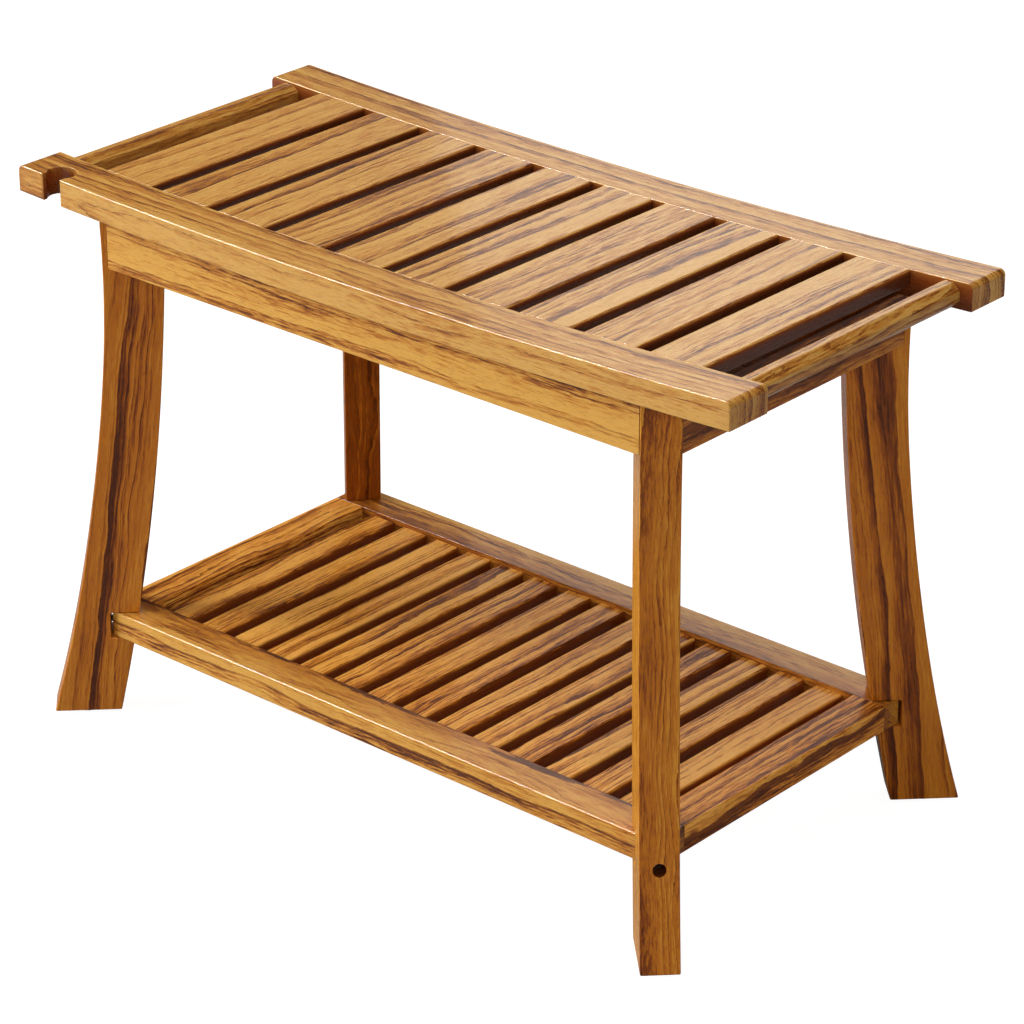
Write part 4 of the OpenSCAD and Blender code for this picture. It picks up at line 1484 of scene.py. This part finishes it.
def hex_nut(place, end):
    """A hex nut with turned corners on both faces, its face on the washer at end."""
    flats, height, flare = 0.013, 0.0065, 0.0005
    rings = []
    # Shares of the height, with how far out the corners reach there, over the flats
    for share, limit in ((0.0, 1.02), (0.14, 1.16), (0.86, 1.16), (1.0, 1.02)):
        ring = []
        for angle in steps(0.0, math.tau, SIDES)[:-1]:
            fold = (angle + math.pi / 6) % (math.pi / 3) - math.pi / 6
            reach = min(flats / 2 / math.cos(fold), flats / 2 * limit)
            ring.append(place(end - height * share, reach * math.cos(angle), reach * math.sin(angle)))
        rings.append(ring)
    bore = [(1.0, STEEL_BORE + flare), (0.93, STEEL_BORE), (0.07, STEEL_BORE), (0.0, STEEL_BORE + flare)]
    rings += turned_rings([(end - height * share, radius) for share, radius in bore], place)
    return loft("hex_nut", rings, closed=True)


def socket_bolt(place, end):
    """The round head of a shelf bolt with a six-sided socket, its underside at end."""
    radius, height, lip, under, neck = 0.0048, 0.006, 0.0006, 0.0002, 0.0029
    key_flats = 0.005
    key = key_flats / 2 / math.cos(math.pi / 6)
    top = end + height
    profile = [(end, neck), (end, radius - under), (end + under, radius), (top - lip, radius),
               (top - lip * 0.3, radius - lip * 0.3), (top, radius - lip)]
    ends = [(end + height * share, key) for share in (0.5, 1.5)]
    socket = loft("socket", turned_rings(ends, place, sides=6))
    return cut(lathe("bolt_head", profile, place), [socket])


def wood_screw(place):
    """A pan-head screw with a cross recess and a coarse pointed thread, its head's seat at zero."""
    reach, radius, tip = 0.0231, 0.002, 0.005
    arm_length, arm_width = 0.0024, 0.0005
    profile = [(0.0, 0.0019), (0.0, 0.0038), (-0.0007, 0.004), (-0.0016, 0.0038), (-0.0025, 0.0028),
               (-0.003, 0.0014)]
    arms = [box_between("cross", (-0.0045, -y, -z), (-0.0014, y, z), place)
            for y, z in ((arm_length, arm_width), (arm_width, arm_length))]
    head = cut(lathe("screw_head", profile, place, sides=32), arms)
    shank = thread("screw_thread", place, 0.0, reach, radius, *SCREW_THREAD, sides=12, point=tip)
    return joined("wood_screw", [head, shank])


class BENCH_OT_dowels(Operator):
    """Give the hidden dowels their beech"""

    bl_idname = "bench.dowels"
    bl_label = "Dowels"

    def execute(self, context):
        for node in ("seat_dowels", "apron_dowels", "shelf_slat_dowels", "shelf_frame_dowels"):
            dowels = repaint(node, beech())
        return {"FINISHED"}


class BENCH_OT_foot_glides(Operator):
    """Make the four nylon glides under the feet"""

    bl_idname = "bench.foot_glides"
    bl_label = "Foot glides"

    def execute(self, context):
        arris, lip, peg, peg_lip = 0.0012, 0.0003, 0.0025, 0.001
        for corner in CORNERS:
            node = "foot_glide_" + corner
            low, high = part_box(node)
            middle = (low + high) / 2
            radius = (high.x - low.x) / 2
            profile = [(low.z, 0.0), (low.z, radius - 2 * arris)]
            for a in steps(0.0, math.pi / 2, 5):
                profile.append((low.z + arris * (1 - math.cos(a)), radius - arris + arris * math.sin(a)))
            profile += [(LEG_LOW_Z - lip, radius), (LEG_LOW_Z, radius - lip), (LEG_LOW_Z, peg),
                        (high.z - peg_lip, peg), (high.z, peg - peg_lip), (high.z, 0.0)]
            upright = lambda a, b, c: Vector((middle.x + b, middle.y + c, a))
            mesh = smooth(lathe(node, profile, upright, sides=64))
            mesh.set_sharp_from_angle(angle=math.radians(40))
            make_piece(node + "_nylon", mesh, nylon(), "nylon", node)
        return {"FINISHED"}


# ---------------------------------------------------------------- the add-on

class BENCH_PT_parts(Panel):
    """Lists the bench's pieces"""

    bl_idname = "BENCH_PT_parts"
    bl_label = "Teak Shower Bench"
    bl_space_type = "VIEW_3D"
    bl_region_type = "UI"
    bl_category = "Bench"

    def draw(self, context):
        for operator in OPERATORS:
            self.layout.operator(operator.bl_idname)
        for group in (context.scene.bench_sizes, context.scene.bench_finish):
            box = self.layout.box()
            for key in group.__annotations__:
                box.prop(group, key)


OPERATORS = (
    BENCH_OT_stage,
    BENCH_OT_seat_rails,
    BENCH_OT_grip_bars,
    BENCH_OT_seat_slats,
    BENCH_OT_aprons,
    BENCH_OT_legs,
    BENCH_OT_shelf_frame,
    BENCH_OT_shelf_slats,
    BENCH_OT_corner_blocks,
    BENCH_OT_hardware,
    BENCH_OT_dowels,
    BENCH_OT_foot_glides,
)
CLASSES = (BenchSizes, BenchFinish, *OPERATORS, BENCH_PT_parts)


def register():
    for cls in CLASSES:
        bpy.utils.register_class(cls)
    bpy.types.Scene.bench_sizes = PointerProperty(type=BenchSizes)
    bpy.types.Scene.bench_finish = PointerProperty(type=BenchFinish)


def unregister():
    del bpy.types.Scene.bench_finish
    del bpy.types.Scene.bench_sizes
    for cls in reversed(CLASSES):
        bpy.utils.unregister_class(cls)


def main():
    """Builds the whole bench and its studio."""
    register()
    for operator in OPERATORS:
        group, name = operator.bl_idname.split(".")
        getattr(getattr(bpy.ops, group), name)()


if __name__ == "__main__":
    main()
